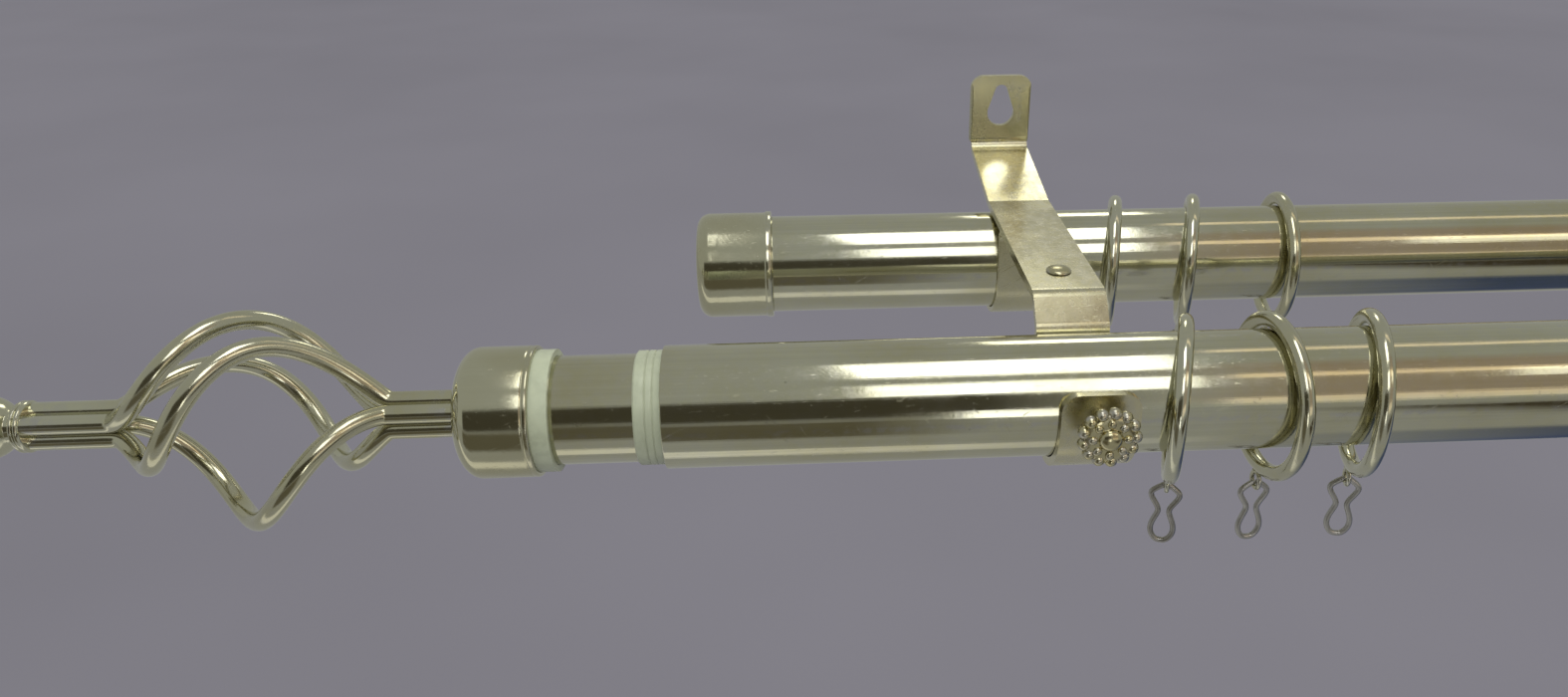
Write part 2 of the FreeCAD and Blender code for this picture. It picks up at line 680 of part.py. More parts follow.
def wall_bracket(side, x):
    """One folded strap: wall plate with keyhole, arm, front cradle and lip."""
    name = f"wall_bracket_{side}"
    width = dim("strap_width")
    outer_r = CRADLE_R + STRAP
    plate_fold = dim("plate_bottom")
    corners = [(0, plate_fold + dim("plate_corner_radius") * STRIP_OVERLAP), (0, plate_fold),
               (REAR_Y + dim("arm_bend_ahead"), ARM_UNDER_Z),
               (FRONT_Y + dim("arm_bend_back"), ARM_UNDER_Z),
               (FRONT_Y + outer_r, POLE_Z + dim("cradle_entry")), (FRONT_Y + outer_r, POLE_Z)]
    sketch, entry, cradle = folded_path(f"{name}_side", corners, STRAP, (FRONT_Y, POLE_Z), outer_r,
                                        (180, 360))
    sketch.addConstraint(Sketcher.Constraint("Coincident", entry, 2, cradle, 2))
    base = FreeCAD.Vector(float(FRONT_Y - outer_r), float(POLE_Z), 0)
    tip = base + FreeCAD.Vector(0, dim("lip_height").value, 0)
    lip = sketch.addGeometry(Part.LineSegment(base, tip), False)
    sketch.addConstraint(Sketcher.Constraint("Coincident", lip, 1, cradle, 1))
    sketch.addConstraint(Sketcher.Constraint("Vertical", lip))
    for end, amount in ((1, POLE_Z), (2, POLE_Z + dim("lip_height"))):
        index = sketch.addConstraint(Sketcher.Constraint("DistanceY", -1, 1, lip, end, amount.value))
        bind(sketch, f"Constraints[{index}]", amount)
    strip = folded_strip(name, sketch, STRAP, width)
    lip_top = POLE_Z + dim("lip_height")
    strip = rounded(f"{name}_lip", strip, dim("lip_corner_radius"),
                    lambda edge: runs_along(edge, "y", z=lip_top))

    plate = doc.addObject("Part::Box", f"{name}_plate")
    plate_width = dim("plate_width")
    plate_low = plate_fold + dim("bend_radius") + STRAP
    bind(plate, "Length", plate_width)
    bind(plate, "Width", STRAP)
    bind(plate, "Height", dim("plate_top") - plate_low)
    place(plate, plate_width * -0.5, -STRAP, plate_low)
    plate = rounded(f"{name}_plate_top", plate, dim("plate_corner_radius"),
                    lambda edge: runs_along(edge, "y", z=dim("plate_top")))
    doc.recompute()
    bevel = doc.addObject("Part::Chamfer", f"{name}_plate_bevel")
    bevel.Base = plate
    half = plate_width / 2
    long_edges = [i for sign in (-1, 1) for i in edge_numbers(
        plate.Shape, lambda edge: runs_along(edge, "z", x=half * sign, y=-STRAP))]
    depth = dim("plate_edge_bevel").value
    bevel.Edges = [(i, depth, depth * BEVEL_FALL) for i in long_edges]

    body = doc.addObject("Part::MultiFuse", f"{name}_sheet_metal")
    body.Shapes = [strip, bevel]
    rivet_hole = round_hole(f"{name}_rivet_hole", dim("rivet_shank_diameter") / 2 + RUNNING,
                            STRAP * CUT_THROUGH, 0, RIVET_Y, ARM_UNDER_Z - STRAP, None, 0)
    screw_hole = round_hole(f"{name}_screw_hole", dim("screw_diameter") / 2 + RUNNING,
                            STRAP * CUT_THROUGH, 0, LIP_OUTER_Y - STRAP, SCREW_Z, ABOUT_X, -90)
    cutters = doc.addObject("Part::MultiFuse", f"{name}_holes")
    cutters.Shapes = [keyhole_cutter(name), rivet_hole, screw_hole]
    cut = doc.addObject("Part::Cut", f"{name}_finished")
    cut.Base = body
    cut.Tool = cutters
    place(cut, x)
    return keep(cut, name)


def rear_cradle(side, x):
    """The strap riveted under the arm that carries the rear pole."""
    name = f"rear_cradle_{side}"
    corners = [(TAB_FRONT_Y, ARM_UNDER_Z), (REAR_Y - CRADLE_R, ARM_UNDER_Z), (REAR_Y - CRADLE_R, POLE_Z)]
    end_angle = WHOLE_TURN - dim("cradle_end_angle")
    sketch, drop, cradle = folded_path(f"{name}_side", corners, dim("cradle_thickness"),
                                       (REAR_Y, POLE_Z), CRADLE_R, (180, end_angle))
    sketch.addConstraint(Sketcher.Constraint("Coincident", drop, 2, cradle, 1))
    end = sketch.Geometry[cradle].EndPoint
    reach = Size(end.y, f"({POLE_Z.text} - {CRADLE_R.text} * sin(dims.cradle_end_angle * 1 deg))")
    index = sketch.addConstraint(Sketcher.Constraint("DistanceY", -1, 1, cradle, 2, reach.value))
    bind(sketch, f"Constraints[{index}]", reach)
    strip = folded_strip(name, sketch, dim("cradle_thickness"), dim("cradle_width"))
    hole = round_hole(f"{name}_rivet_hole", dim("rivet_shank_diameter") / 2 + RUNNING,
                      STRAP * CUT_THROUGH, 0, RIVET_Y, ARM_UNDER_Z - STRAP * 2, None, 0)
    cut = doc.addObject("Part::Cut", f"{name}_finished")
    cut.Base = strip
    cut.Tool = hole
    place(cut, x)
    return keep(cut, name)


def cradle_rivet(side, x):
    """A rivet through the arm and the cradle's tab, with a low head at each end."""
    shank = dim("rivet_shank_diameter") / 2
    head = dim("rivet_head_diameter") / 2
    rise = dim("rivet_head_height")
    grip = STRAP + dim("cradle_thickness")
    crown = head * RIVET_CROWN
    body = turned(f"cradle_rivet_{side}",
                  [(0, 0), (0, crown), (rise, head), (rise, shank), (rise + grip, shank),
                   (rise + grip, head), (rise * 2 + grip, crown), (rise * 2 + grip, 0)])
    place(body, x, RIVET_Y, ARM_UNDER_Z - dim("cradle_thickness") - rise, ABOUT_Y, -90)


def thumbscrew(side, x):
    """A screw with a beaded rosette head, turned by hand against the front pole."""
    name = f"thumbscrew_{side}"
    shank = dim("screw_diameter") / 2
    rosette = dim("rosette_diameter") / 2
    button = dim("rosette_button_diameter") / 2
    thick = dim("rosette_thickness")
    bead = dim("rosette_bead_diameter") / 2
    shank_length = STRAP + dim("screw_head_gap")
    body = turned(name, [(0, 0), (0, shank), (shank_length - thick * HEAD_BACK, shank),
                         (shank_length, shank * SCREW_COLLAR), (shank_length + thick * HEAD_RIM, rosette),
                         (shank_length + thick * HEAD_FACE, rosette),
                         (shank_length + thick * HEAD_DISH, button * BUTTON_FOOT),
                         (shank_length + thick * HEAD_TOP, button * BUTTON_CROWN),
                         (shank_length + thick * HEAD_TOP, 0)])
    stub = body.newObject("PartDesign::AdditivePrism", f"{name}_bead")
    stub.Polygon = BAR_SIDES
    bind(stub, "Circumradius", bead)
    bind(stub, "Height", thick * HEAD_FACE)
    stub.AttachmentSupport = [(origin_plane(body, "YZ_Plane"), "")]
    stub.MapMode = "FlatFace"
    stub.AttachmentOffset = FreeCAD.Placement(
        FreeCAD.Vector(rosette.value, 0, float(shank_length + thick * HEAD_RIM)), FreeCAD.Rotation())
    bind(stub, "AttachmentOffset.Base.x", rosette)
    bind(stub, "AttachmentOffset.Base.z", shank_length + thick * HEAD_RIM)
    doc.recompute()
    beads = body.newObject("PartDesign::PolarPattern", f"{name}_beads")
    beads.Originals = [stub]
    beads.Axis = (origin_plane(body, "X_Axis"), [""])
    beads.Angle = WHOLE_TURN
    bind(beads, "Occurrences", dim("rosette_bead_count"))
    body.Tip = beads
    place(body, x, LIP_OUTER_Y + STRAP, SCREW_Z, ABOUT_Z, -90)


def bracket(side, x):
    wall_bracket(side, x)
    rear_cradle(side, x)
    cradle_rivet(side, x)
    thumbscrew(side, x)


RING_R = dim("ring_bore") / 2 + dim("ring_section") / 2
RING_OUT = dim("ring_bore") / 2 + dim("ring_section")
RING_Z = POLE_Z + OUTER_R + SEAT - dim("ring_bore") / 2
EYE_R = dim("eye_bore") / 2 + dim("eye_wire") / 2
EYE_DROP = RING_OUT + SEAT + EYE_R + dim("eye_wire") / 2


def round_loop(height, loop_radius, bar_radius, sides, stations):
    """A closed hoop of round bar that stands across the pole."""
    turns = [WHOLE_TURN * station / stations for station in range(stations)]
    spokes = [FreeCAD.Vector(0, cosine(turn), sine(turn)) for turn in turns]
    centre = FreeCAD.Vector(0, 0, height)
    return faceted_bar([centre + spoke * loop_radius for spoke in spokes], spokes, bar_radius, sides, True)


def ring(node, x, y, yaw):
    """A round-section ring with a small hole below for the eye's shank."""
    band = doc.addObject("Part::Feature", f"{node}_band")
    band.Shape = round_loop(0, RING_R.value, dim("ring_section").value / 2, BAR_SIDES, RING_STATIONS)
    drill = doc.addObject("Part::Cylinder", f"{node}_drill")
    bind(drill, "Radius", dim("eye_wire") / 2 + RUNNING)
    bind(drill, "Height", dim("eye_shank_length") + dim("ring_section"))
    place(drill, 0, 0, -RING_OUT - dim("ring_section") + RUNNING)
    cut = doc.addObject("Part::Cut", f"{node}_drilled")
    cut.Base = band
    cut.Tool = drill
    place(cut, x, y, RING_Z, ABOUT_Z, yaw)
    return keep(cut, node)


def ring_eye(node, x, y, yaw):
    """A wire eye on a short shank pressed into the bottom of the ring."""
    loop = doc.addObject("Part::Feature", f"{node}_loop")
    loop.Shape = round_loop(-EYE_DROP.value, EYE_R.value, dim("eye_wire").value / 2, WIRE_SIDES,
                            EYE_STATIONS)
    shank = doc.addObject("Part::Cylinder", f"{node}_shank")
    bind(shank, "Radius", dim("eye_wire") / 2)
    bind(shank, "Height", dim("eye_wire") / 2 + SEAT + dim("eye_shank_length"))
    place(shank, 0, 0, EYE_R - EYE_DROP)
    eye = doc.addObject("Part::Fuse", f"{node}_eye")
    eye.Base = loop
    eye.Tool = shank
    place(eye, x, y, RING_Z, ABOUT_Z, yaw)
    return keep(eye, node)


def curtain_hook(node, x, y, yaw):
    """A bent wire: a loop through the ring's eye, a neck and a pear-shaped loop."""
    wire = dim("hook_wire").value / 2
    top = RING_Z.value - EYE_DROP.value - dim("eye_bore").value / 2 + SEAT.value + wire
    neck = top - dim("hook_top_height").value
    bottom = neck - dim("hook_bottom_height").value
    belly = neck - dim("hook_bottom_height").value * HOOK_BELLY
    shoulder = top - dim("hook_top_height").value * HOOK_SHOULDER
    widths = ((dim("hook_top_width").value, shoulder), (dim("hook_neck_width").value, neck),
              (dim("hook_bottom_width").value, belly))
    right = [FreeCAD.Vector(width / 2, 0, z) for width, z in widths]
    left = [FreeCAD.Vector(-width / 2, 0, z) for width, z in reversed(widths)]
    points = [FreeCAD.Vector(0, 0, top)] + right + [FreeCAD.Vector(0, 0, bottom)] + left
    curve = Part.BSplineCurve()
    curve.interpolate(Points=points, PeriodicFlag=True)
    centres = curve.toShape().discretize(HOOK_STATIONS + 1)[:-1]
    outward = [FreeCAD.Vector(0, 1, 0)] * HOOK_STATIONS
    hook = doc.addObject("Part::Feature", node)
    hook.Shape = faceted_bar(centres, outward, wire, WIRE_SIDES, True)
    place(hook, x, y, 0, ABOUT_Z, yaw)
    return keep(hook, node)


def rings():
    for row, y, places in (("front", FRONT_Y, FRONT_RINGS), ("rear", REAR_Y, REAR_RINGS)):
        for number, (x, yaw) in enumerate(places, start=1):
            ring(f"{row}_ring_{number}", x, y, yaw)
            ring_eye(f"{row}_ring_eye_{number}", x, y, yaw)
            curtain_hook(f"{row}_curtain_hook_{number}", x, y, yaw)


def save_all():
    broken = [item.Name for item in doc.Objects
              if any(state in ("Invalid", "Error") for state in item.State)]
    if broken:
        raise RuntimeError(f"failed objects: {broken}")
    for item in SUBPARTS:
        if item.Shape.isNull() or not item.Shape.isValid():
            raise RuntimeError(f"bad shape: {item.Label}")
    os.makedirs("parts", exist_ok=True)
    for item in SUBPARTS:
        item.Shape.exportStep(f"parts/{item.Label}.step")


poles()
guide_bush("front_guide_bush", MOUTH_X, FRONT_Y, -1)
guide_bush("rear_guide_bush", REAR_MOUTH_X, REAR_Y, 1)
finials()
rear_ends()
bracket("left", 0)
bracket("right", SPACING)
rings()
doc.recompute()
save_all()
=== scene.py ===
import json
import math

import bpy
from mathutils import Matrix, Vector


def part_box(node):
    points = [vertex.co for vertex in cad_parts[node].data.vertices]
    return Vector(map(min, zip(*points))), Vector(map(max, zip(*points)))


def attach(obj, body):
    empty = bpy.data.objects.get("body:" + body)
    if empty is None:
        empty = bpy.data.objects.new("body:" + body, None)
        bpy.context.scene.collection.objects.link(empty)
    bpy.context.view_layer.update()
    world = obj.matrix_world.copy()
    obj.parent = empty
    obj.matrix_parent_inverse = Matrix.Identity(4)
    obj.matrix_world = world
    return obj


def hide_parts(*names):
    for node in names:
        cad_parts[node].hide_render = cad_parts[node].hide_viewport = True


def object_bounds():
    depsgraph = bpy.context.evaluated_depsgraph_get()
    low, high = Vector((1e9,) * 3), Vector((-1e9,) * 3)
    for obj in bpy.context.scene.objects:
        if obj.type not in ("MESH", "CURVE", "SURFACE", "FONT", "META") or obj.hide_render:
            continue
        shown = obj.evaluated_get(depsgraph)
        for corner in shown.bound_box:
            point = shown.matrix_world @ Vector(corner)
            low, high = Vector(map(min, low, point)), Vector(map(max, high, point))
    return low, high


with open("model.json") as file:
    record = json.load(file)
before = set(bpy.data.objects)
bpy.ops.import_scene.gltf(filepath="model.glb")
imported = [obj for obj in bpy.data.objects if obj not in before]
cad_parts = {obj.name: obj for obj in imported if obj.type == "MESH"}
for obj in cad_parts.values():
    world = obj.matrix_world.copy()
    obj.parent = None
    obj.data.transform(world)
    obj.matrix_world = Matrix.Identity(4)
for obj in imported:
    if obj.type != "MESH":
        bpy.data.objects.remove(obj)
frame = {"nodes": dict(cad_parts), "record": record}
CAD_BOX = [list(corner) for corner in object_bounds()]

bl_info = {
    "name": "Double Curtain Pole",
    "version": (1, 0, 0),
    "blender": (4, 5, 0),
    "location": "View3D > Sidebar > Curtain Pole",
    "description": "Plated tubes, finials, brackets, rings and hooks of a double curtain pole",
    "category": "Object",
}

MM = 0.001
SIDES = ("left", "right")
ROWS = ("front", "rear")
RING_YAWS = {"front": (-17.0, 4.0, -12.0), "rear": (-14.0, -16.0, -5.0)}
ROD_LEANS = (19.0, -7.0, -26.0, 3.0)
ALONG_X = Vector((1, 0, 0))
ALONG_Y = Vector((0, 1, 0))
ALONG_Z = Vector((0, 0, 1))

# Places of the folded strap's corners, and the holes drilled in it
PLATE_FOLD = -19.4 * MM
PLATE_LOW = -15.9 * MM
SLANT_OUT = 2.5 * MM
ARM_END = 22.0 * MM
ARM_GAP = 0.9 * MM
CRADLE_BACK = 9.5 * MM
LIP_TOP = 8.0 * MM
NEAR = 0.01 * MM
RIVET_HOLE = 1.65 * MM
SCREW_HOLE = 2.25 * MM
DRILL_LENGTH = 8 * MM

# Gap between a ring and its pole, and between an eye and its ring
HANG_GAP = 0.3 * MM


# Places and sizes taken from the frame

def low(node):
    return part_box(node)[0]


def high(node):
    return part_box(node)[1]


def middle(node):
    return (low(node) + high(node)) / 2


def depth(node, axis):
    return high(node)[axis] - low(node)[axis]


def near_end(node, facing):
    """Where a piece starts along X, when it runs towards the side it faces."""
    return low(node).x if facing > 0 else high(node).x


def body_of(node):
    """The moving body that carries a node of the frame."""
    for body, members in frame["record"]["behaviour"]["bodies"].items():
        if node in members:
            return body
    raise RuntimeError(f"no body carries {node}")


FRONT_AXIS = middle("front_outer_tube")
REAR_AXIS = middle("rear_outer_tube")
POLE_Z = FRONT_AXIS.z
POLE_AXES = {"front": FRONT_AXIS.y, "rear": REAR_AXIS.y}


# Sizes and colours that can be changed

def length_prop(name, description, default):
    return bpy.props.FloatProperty(
        name=name, description=description, default=default, unit="LENGTH")


def angle_prop(name, description, degrees):
    return bpy.props.FloatProperty(
        name=name, description=description, default=math.radians(degrees),
        subtype="ANGLE", unit="ROTATION")


def number_prop(name, description, default):
    return bpy.props.FloatProperty(name=name, description=description, default=default)


def count_prop(name, description, default):
    return bpy.props.IntProperty(name=name, description=description, default=default)


def colour_prop(name, description, default):
    return bpy.props.FloatVectorProperty(
        name=name, description=description, default=default, size=3, min=0.0, max=1.0,
        subtype="COLOR")


class PoleSizes(bpy.types.PropertyGroup):
    outer_diameter: length_prop(
        "Outer tube diameter", "Outside diameter of the fixed tubes", depth("front_outer_tube", 2))
    inner_diameter: length_prop(
        "Inner tube diameter", "Outside diameter of the sliding tubes",
        depth("front_inner_tube", 2))
    wall: length_prop("Tube wall", "Thickness of both tubes", 0.8 * MM)
    mouth_round: length_prop("Mouth rounding", "Radius left at a tube's cut end", 0.3 * MM)
    clearance: length_prop("Running clearance", "Gap between sliding pieces", 0.05 * MM)
    collar_length: length_prop(
        "Bush collar", "Length of the pale collar in front of a tube's mouth", 6.0 * MM)
    cap_wall: length_prop("Cap end", "Thickness of an end cap's closed end", 1.4 * MM)
    cap_round: length_prop("Cap rounding", "Radius round an end cap's closed end", 3.6 * MM)


class FinialSizes(bpy.types.PropertyGroup):
    rod_diameter: length_prop("Rod diameter", "Thickness of a basket rod", 4.4 * MM)
    basket_diameter: length_prop("Basket diameter", "Widest place of the basket", 49.5 * MM)
    basket_length: length_prop("Basket length", "Length of the sprung part of the rods", 58.0 * MM)
    basket_twist: angle_prop(
        "Basket twist", "Turn of the rods from one end of the basket to the other", 180.0)
    rod_phase: angle_prop("Basket phase", "Turn of the whole basket about the pole", -30.0)
    swell_power: number_prop(
        "Basket swell", "Above one draws the basket's shoulders in", 1.15)
    inner_stem: length_prop("Inner stem", "Straight rods between cup and basket", 16.0 * MM)
    outer_stem: length_prop("Outer stem", "Straight rods between basket and tip", 18.5 * MM)
    cup_boss: length_prop("Cup boss", "Diameter of the flat on the cup's closed end", 15.0 * MM)
    cup_dome: length_prop("Cup dome", "Length of the cup's rounded shoulder", 5.0 * MM)
    cup_wall: length_prop("Cup wall", "Thickness of the cup", 1.0 * MM)


class BracketSizes(bpy.types.PropertyGroup):
    strap_width: length_prop("Strap width", "Width of the folded strap", 17.8 * MM)
    strap_thickness: length_prop("Strap thickness", "Thickness of the folded strap", 2.0 * MM)
    bend_radius: length_prop("Bend radius", "Radius of the strap's folds", 2.2 * MM)
    corner_radius: length_prop(
        "Corner radius", "Rounding of the plate's and lip's free corners", 4.0 * MM)
    edge_round: length_prop("Edge rounding", "Softened edge of the punched strap", 0.35 * MM)
    plate_bevel: length_prop(
        "Plate bevel", "Rolled bevel along the sides of the wall plate", 1.3 * MM)
    seat_clearance: length_prop("Seat clearance", "Gap between a cradle and its pole", 0.3 * MM)
    keyhole_seat: length_prop("Keyhole seat", "Radius that holds the screw's neck", 2.0 * MM)
    keyhole_entry: length_prop("Keyhole entry", "Radius that lets the screw's head in", 4.2 * MM)
    keyhole_length: length_prop(
        "Keyhole length", "Distance between the two radii's centres", 6.8 * MM)
    cradle_thickness: length_prop(
        "Rear cradle thickness", "Thickness of the riveted cradle", 1.6 * MM)
    bead_count: count_prop("Rosette beads", "Beads round the thumbscrew's head", 13)
    petal_count: count_prop("Rosette petals", "Petals on the thumbscrew's face", 8)


class RingSizes(bpy.types.PropertyGroup):
    section: length_prop("Ring section", "Thickness of a ring's round bar", 3.8 * MM)
    bore: length_prop("Ring bore", "Inside diameter of a ring", 32.6 * MM)
    eye_wire: length_prop("Eye wire", "Thickness of the small eye's wire", 1.2 * MM)
    eye_bore: length_prop("Eye bore", "Inside diameter of the small eye", 2.8 * MM)
    hook_wire: length_prop("Hook wire", "Thickness of a curtain hook's wire", 1.4 * MM)


class FinishColours(bpy.types.PropertyGroup):
    champagne: colour_prop(
        "Champagne plating", "Polished metal of tubes, rods, cups, caps and rings",
        (0.64, 0.63, 0.48))
    champagne_deep: colour_prop(
        "Deeper plating", "Thicker, warmer patches of the plating", (0.56, 0.53, 0.35))
    strap_gold: colour_prop(
        "Strap plating", "Yellowish plating of the brackets", (0.70, 0.65, 0.43))
    cast_brass: colour_prop("Cast brass", "Thumbscrews and rivets", (0.60, 0.54, 0.31))
    bare_steel: colour_prop(
        "Bare steel", "Metal where the plating has worn through", (0.55, 0.54, 0.52))
    pale_plastic: colour_prop("Pale plastic", "Guide bushes and adapters", (0.34, 0.37, 0.26))
    dull_wire: colour_prop("Hook wire", "Dull plated wire of the hooks", (0.30, 0.28, 0.24))
    floor: colour_prop("Floor", "Pale floor and backdrop", (0.216, 0.209, 0.238))


class StageSettings(bpy.types.PropertyGroup):
    camera_place: bpy.props.FloatVectorProperty(
        name="Camera place", description="Where the camera stands",
        default=(-64.6 * MM, -368.3 * MM, 85.2 * MM), size=3, subtype="TRANSLATION",
        unit="LENGTH")
    camera_aim: bpy.props.FloatVectorProperty(
        name="Camera aim", description="Direction in which the camera looks",
        default=(0.0601, 0.9043, -0.4226), size=3, subtype="DIRECTION")
    lens: number_prop("Lens", "Focal length in millimetres", 27.0)
    shift_x: number_prop("Shift across", "Sideways shift of the picture", -0.0575)
    shift_y: number_prop("Shift up", "Upward shift of the picture", -0.0044)
    floor_drop: length_prop(
        "Floor drop", "How far below the part's lowest point the floor lies", 0.25)
    glow: number_prop(
        "Softbox glow", "Factor on the brightness of every softbox's face", 1.0)
    room_light: number_prop("Room light", "Even light from all round", 1.0)
    room_shine: colour_prop(
        "Room shine", "Plain room that the plating mirrors", (0.37, 0.38, 0.36))


def settings():
    return bpy.context.scene.curtain_pole


# Modelling helpers

def start_fresh():
    if bpy.context.mode != "OBJECT":
        bpy.ops.object.mode_set(mode="OBJECT")
    bpy.ops.object.select_all(action="DESELECT")


def only(piece):
    start_fresh()
    piece.select_set(True)
    bpy.context.view_layer.objects.active = piece


def settle(piece):
    """The piece's place goes into its mesh, and its object to the origin."""
    only(piece)
    bpy.ops.object.transform_apply(location=True, rotation=True, scale=True)


def choose(piece, test, kind="VERT"):
    """In edit mode, selects what the test accepts by its place."""
    bpy.ops.mesh.select_mode(type=kind)
    bpy.ops.mesh.select_all(action="DESELECT")
    bpy.ops.object.mode_set(mode="OBJECT")
    mesh = piece.data
    if kind == "VERT":
        for vertex in mesh.vertices:
            vertex.select = test(vertex.co)
    elif kind == "EDGE":
        for edge in mesh.edges:
            edge.select = all(test(mesh.vertices[index].co) for index in edge.vertices)
    else:
        for face in mesh.polygons:
            face.select = test(face)
    bpy.ops.object.mode_set(mode="EDIT")


def apply_modifier(piece, kind, **values):
    """Adds a modifier, sets it and applies it."""
    only(piece)
    modifier = piece.modifiers.new(kind.title(), kind)
    for key, value in values.items():
        setattr(modifier, key, value)
    bpy.ops.object.modifier_apply(modifier=modifier.name)


def soften(piece, width, segments=2, limit=35.0):
    """Rounds every sharp edge a little, as tumbling and plating leave it."""
    apply_modifier(piece, "BEVEL", width=width, segments=segments, limit_method="ANGLE",
                   angle_limit=math.radians(limit), use_clamp_overlap=True)


def smooth(piece, limit=40.0):
    only(piece)
    bpy.ops.object.shade_smooth_by_angle(angle=math.radians(limit))


def chain(name, points):
    """A line of edges through the points, left in edit mode and selected all over."""
    start_fresh()
    bpy.ops.mesh.primitive_plane_add(size=MM, location=points[0])
    piece = bpy.context.object
    piece.name = name
    piece.data.name = name
    settle(piece)
    bpy.ops.object.mode_set(mode="EDIT")
    bpy.ops.mesh.select_mode(type="VERT")
    bpy.ops.mesh.select_all(action="SELECT")
    bpy.ops.mesh.merge(type="CENTER")
    for before, after in zip(points, points[1:]):
        step = Vector(after) - Vector(before)
        bpy.ops.mesh.extrude_vertices_move(TRANSFORM_OT_translate={"value": step})
    bpy.ops.mesh.select_all(action="SELECT")
    return piece


def close_up(threshold):
    """In edit mode, welds a mesh, turns its faces outward and leaves edit mode."""
    bpy.ops.mesh.remove_doubles(threshold=threshold)
    draw_outward()


def draw_outward():
    """In edit mode, turns the selected faces outward and leaves edit mode."""
    bpy.ops.mesh.normals_make_consistent(inside=False)
    bpy.ops.object.mode_set(mode="OBJECT")


def draw_out(step):
    """In edit mode, draws what is selected out by a step and closes the mesh up."""
    bpy.ops.mesh.extrude_region_move(TRANSFORM_OT_translate={"value": step})
    bpy.ops.mesh.select_all(action="SELECT")
    draw_outward()


def resize_part(piece, test, factors, centre):
    """Stretches what the test accepts about a centre."""
    only(piece)
    bpy.ops.object.mode_set(mode="EDIT")
    choose(piece, test)
    bpy.ops.transform.resize(value=factors, center_override=centre)
    bpy.ops.object.mode_set(mode="OBJECT")


def turned(name, origin, axis, profile, segments=96, rounding=0.0, shading=40.0):
    """A piece turned on a lathe: its half profile, as (along, radius), is spun about the axis."""
    side = ALONG_X if abs(axis.z) > 0.5 else ALONG_Z
    origin = Vector(origin)
    points = [origin + axis * along + side * radius for along, radius in profile]
    piece = chain(name, points)
    bpy.ops.mesh.spin(steps=segments, angle=math.tau, center=origin, axis=axis)
    bpy.ops.mesh.select_all(action="SELECT")
    close_up(0.004 * MM)
    if rounding:
        soften(piece, rounding)
    smooth(piece, shading)
    return piece


def arc(centre, radius, start, end, steps):
    """Points of a round in a plane's two coordinates, with angles in degrees."""
    along, out = radius if isinstance(radius, tuple) else (radius, radius)
    angles = [math.radians(start + (end - start) * i / steps) for i in range(steps + 1)]
    return [(centre[0] + along * math.cos(a), centre[1] + out * math.sin(a)) for a in angles]


def wire(name, points, radius, cyclic=False, sides=5, steps=3):
    """A round wire along a smooth line, made a closed mesh."""
    start_fresh()
    bpy.ops.curve.primitive_nurbs_path_add(radius=MM, location=(0, 0, 0))
    piece = bpy.context.object
    piece.name = name
    curve = piece.data
    curve.splines.clear()
    spline = curve.splines.new("NURBS")
    spline.points.add(len(points) - 1)
    for knot, point in zip(spline.points, points):
        knot.co = (point[0], point[1], point[2], 1.0)
    spline.order_u = 4
    spline.use_cyclic_u = cyclic
    spline.use_endpoint_u = not cyclic
    spline.resolution_u = steps
    curve.bevel_depth = radius
    curve.bevel_resolution = sides
    curve.use_fill_caps = not cyclic
    only(piece)
    bpy.ops.object.convert(target="MESH")
    piece = bpy.context.object
    piece.data.name = name
    settle(piece)
    bpy.ops.object.mode_set(mode="EDIT")
    bpy.ops.mesh.select_all(action="SELECT")
    close_up(0.002 * MM)
    smooth(piece, 50.0)
    return piece


def folded(name, points, x, width):
    """A strap's skin: a side-view line drawn out to the strap's width."""
    left = x - width / 2
    piece = chain(name, [Vector((left, y, z)) for y, z in points])
    draw_out((width, 0, 0))
    return piece


def rounded_run(corners, bend_radius, thickness, steps=6):
    """A side-view line with rounded bends, the outer radius where it bends over its sheet."""
    corners = [Vector(corner) for corner in corners]
    points = [corners[0]]
    for before, corner, after in zip(corners, corners[1:], corners[2:]):
        back = (before - corner).normalized()
        on = (after - corner).normalized()
        to_right = back.cross(on) > 0
        radius = bend_radius + thickness if to_right else bend_radius
        half = back.angle(on) / 2
        centre = corner + (back + on).normalized() * (radius / math.sin(half))
        start = corner + back * (radius / math.tan(half)) - centre
        end = corner + on * (radius / math.tan(half)) - centre
        first = math.atan2(start.y, start.x)
        sweep = math.atan2(end.y, end.x) - first
        sweep = (sweep + math.pi) % math.tau - math.pi
        for i in range(steps + 1):
            angle = first + sweep * i / steps
            points.append(centre + Vector((math.cos(angle), math.sin(angle))) * radius)
    points.append(corners[-1])
    return points


def sweep_round(centre, radius, start, end, steps):
    """Side-view points of a cradle's arc, with angles in degrees."""
    return [Vector(point) for point in arc(centre, radius, start, end, steps)]


def join(name, parts):
    """Several meshes become one piece."""
    start_fresh()
    for part in parts:
        part.select_set(True)
    bpy.context.view_layer.objects.active = parts[0]
    bpy.ops.object.join()
    piece = bpy.context.object
    piece.name = name
    piece.data.name = name
    return piece


def copy_turned(piece, angle, axis, centre):
    """A copy with its own mesh, turned about a point."""
    only(piece)
    bpy.ops.object.duplicate(linked=False)
    copy = bpy.context.object
    turn_mesh(copy, angle, axis, centre)
    return copy


def turn_mesh(piece, angle, axis, centre):
    """Turns a piece's mesh about a world axis through the centre."""
    only(piece)
    bpy.ops.object.mode_set(mode="EDIT")
    bpy.ops.mesh.select_all(action="SELECT")
    bpy.ops.transform.rotate(value=-angle, orient_axis=axis, orient_type="GLOBAL",
                             center_override=centre)
    bpy.ops.object.mode_set(mode="OBJECT")


def mount(piece, node, material):
    """The piece stands for a node of the frame and moves with its body."""
    piece.data.materials.clear()
    piece.data.materials.append(material)
    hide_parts(node)
    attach(piece, body_of(node))


# Node groups and materials

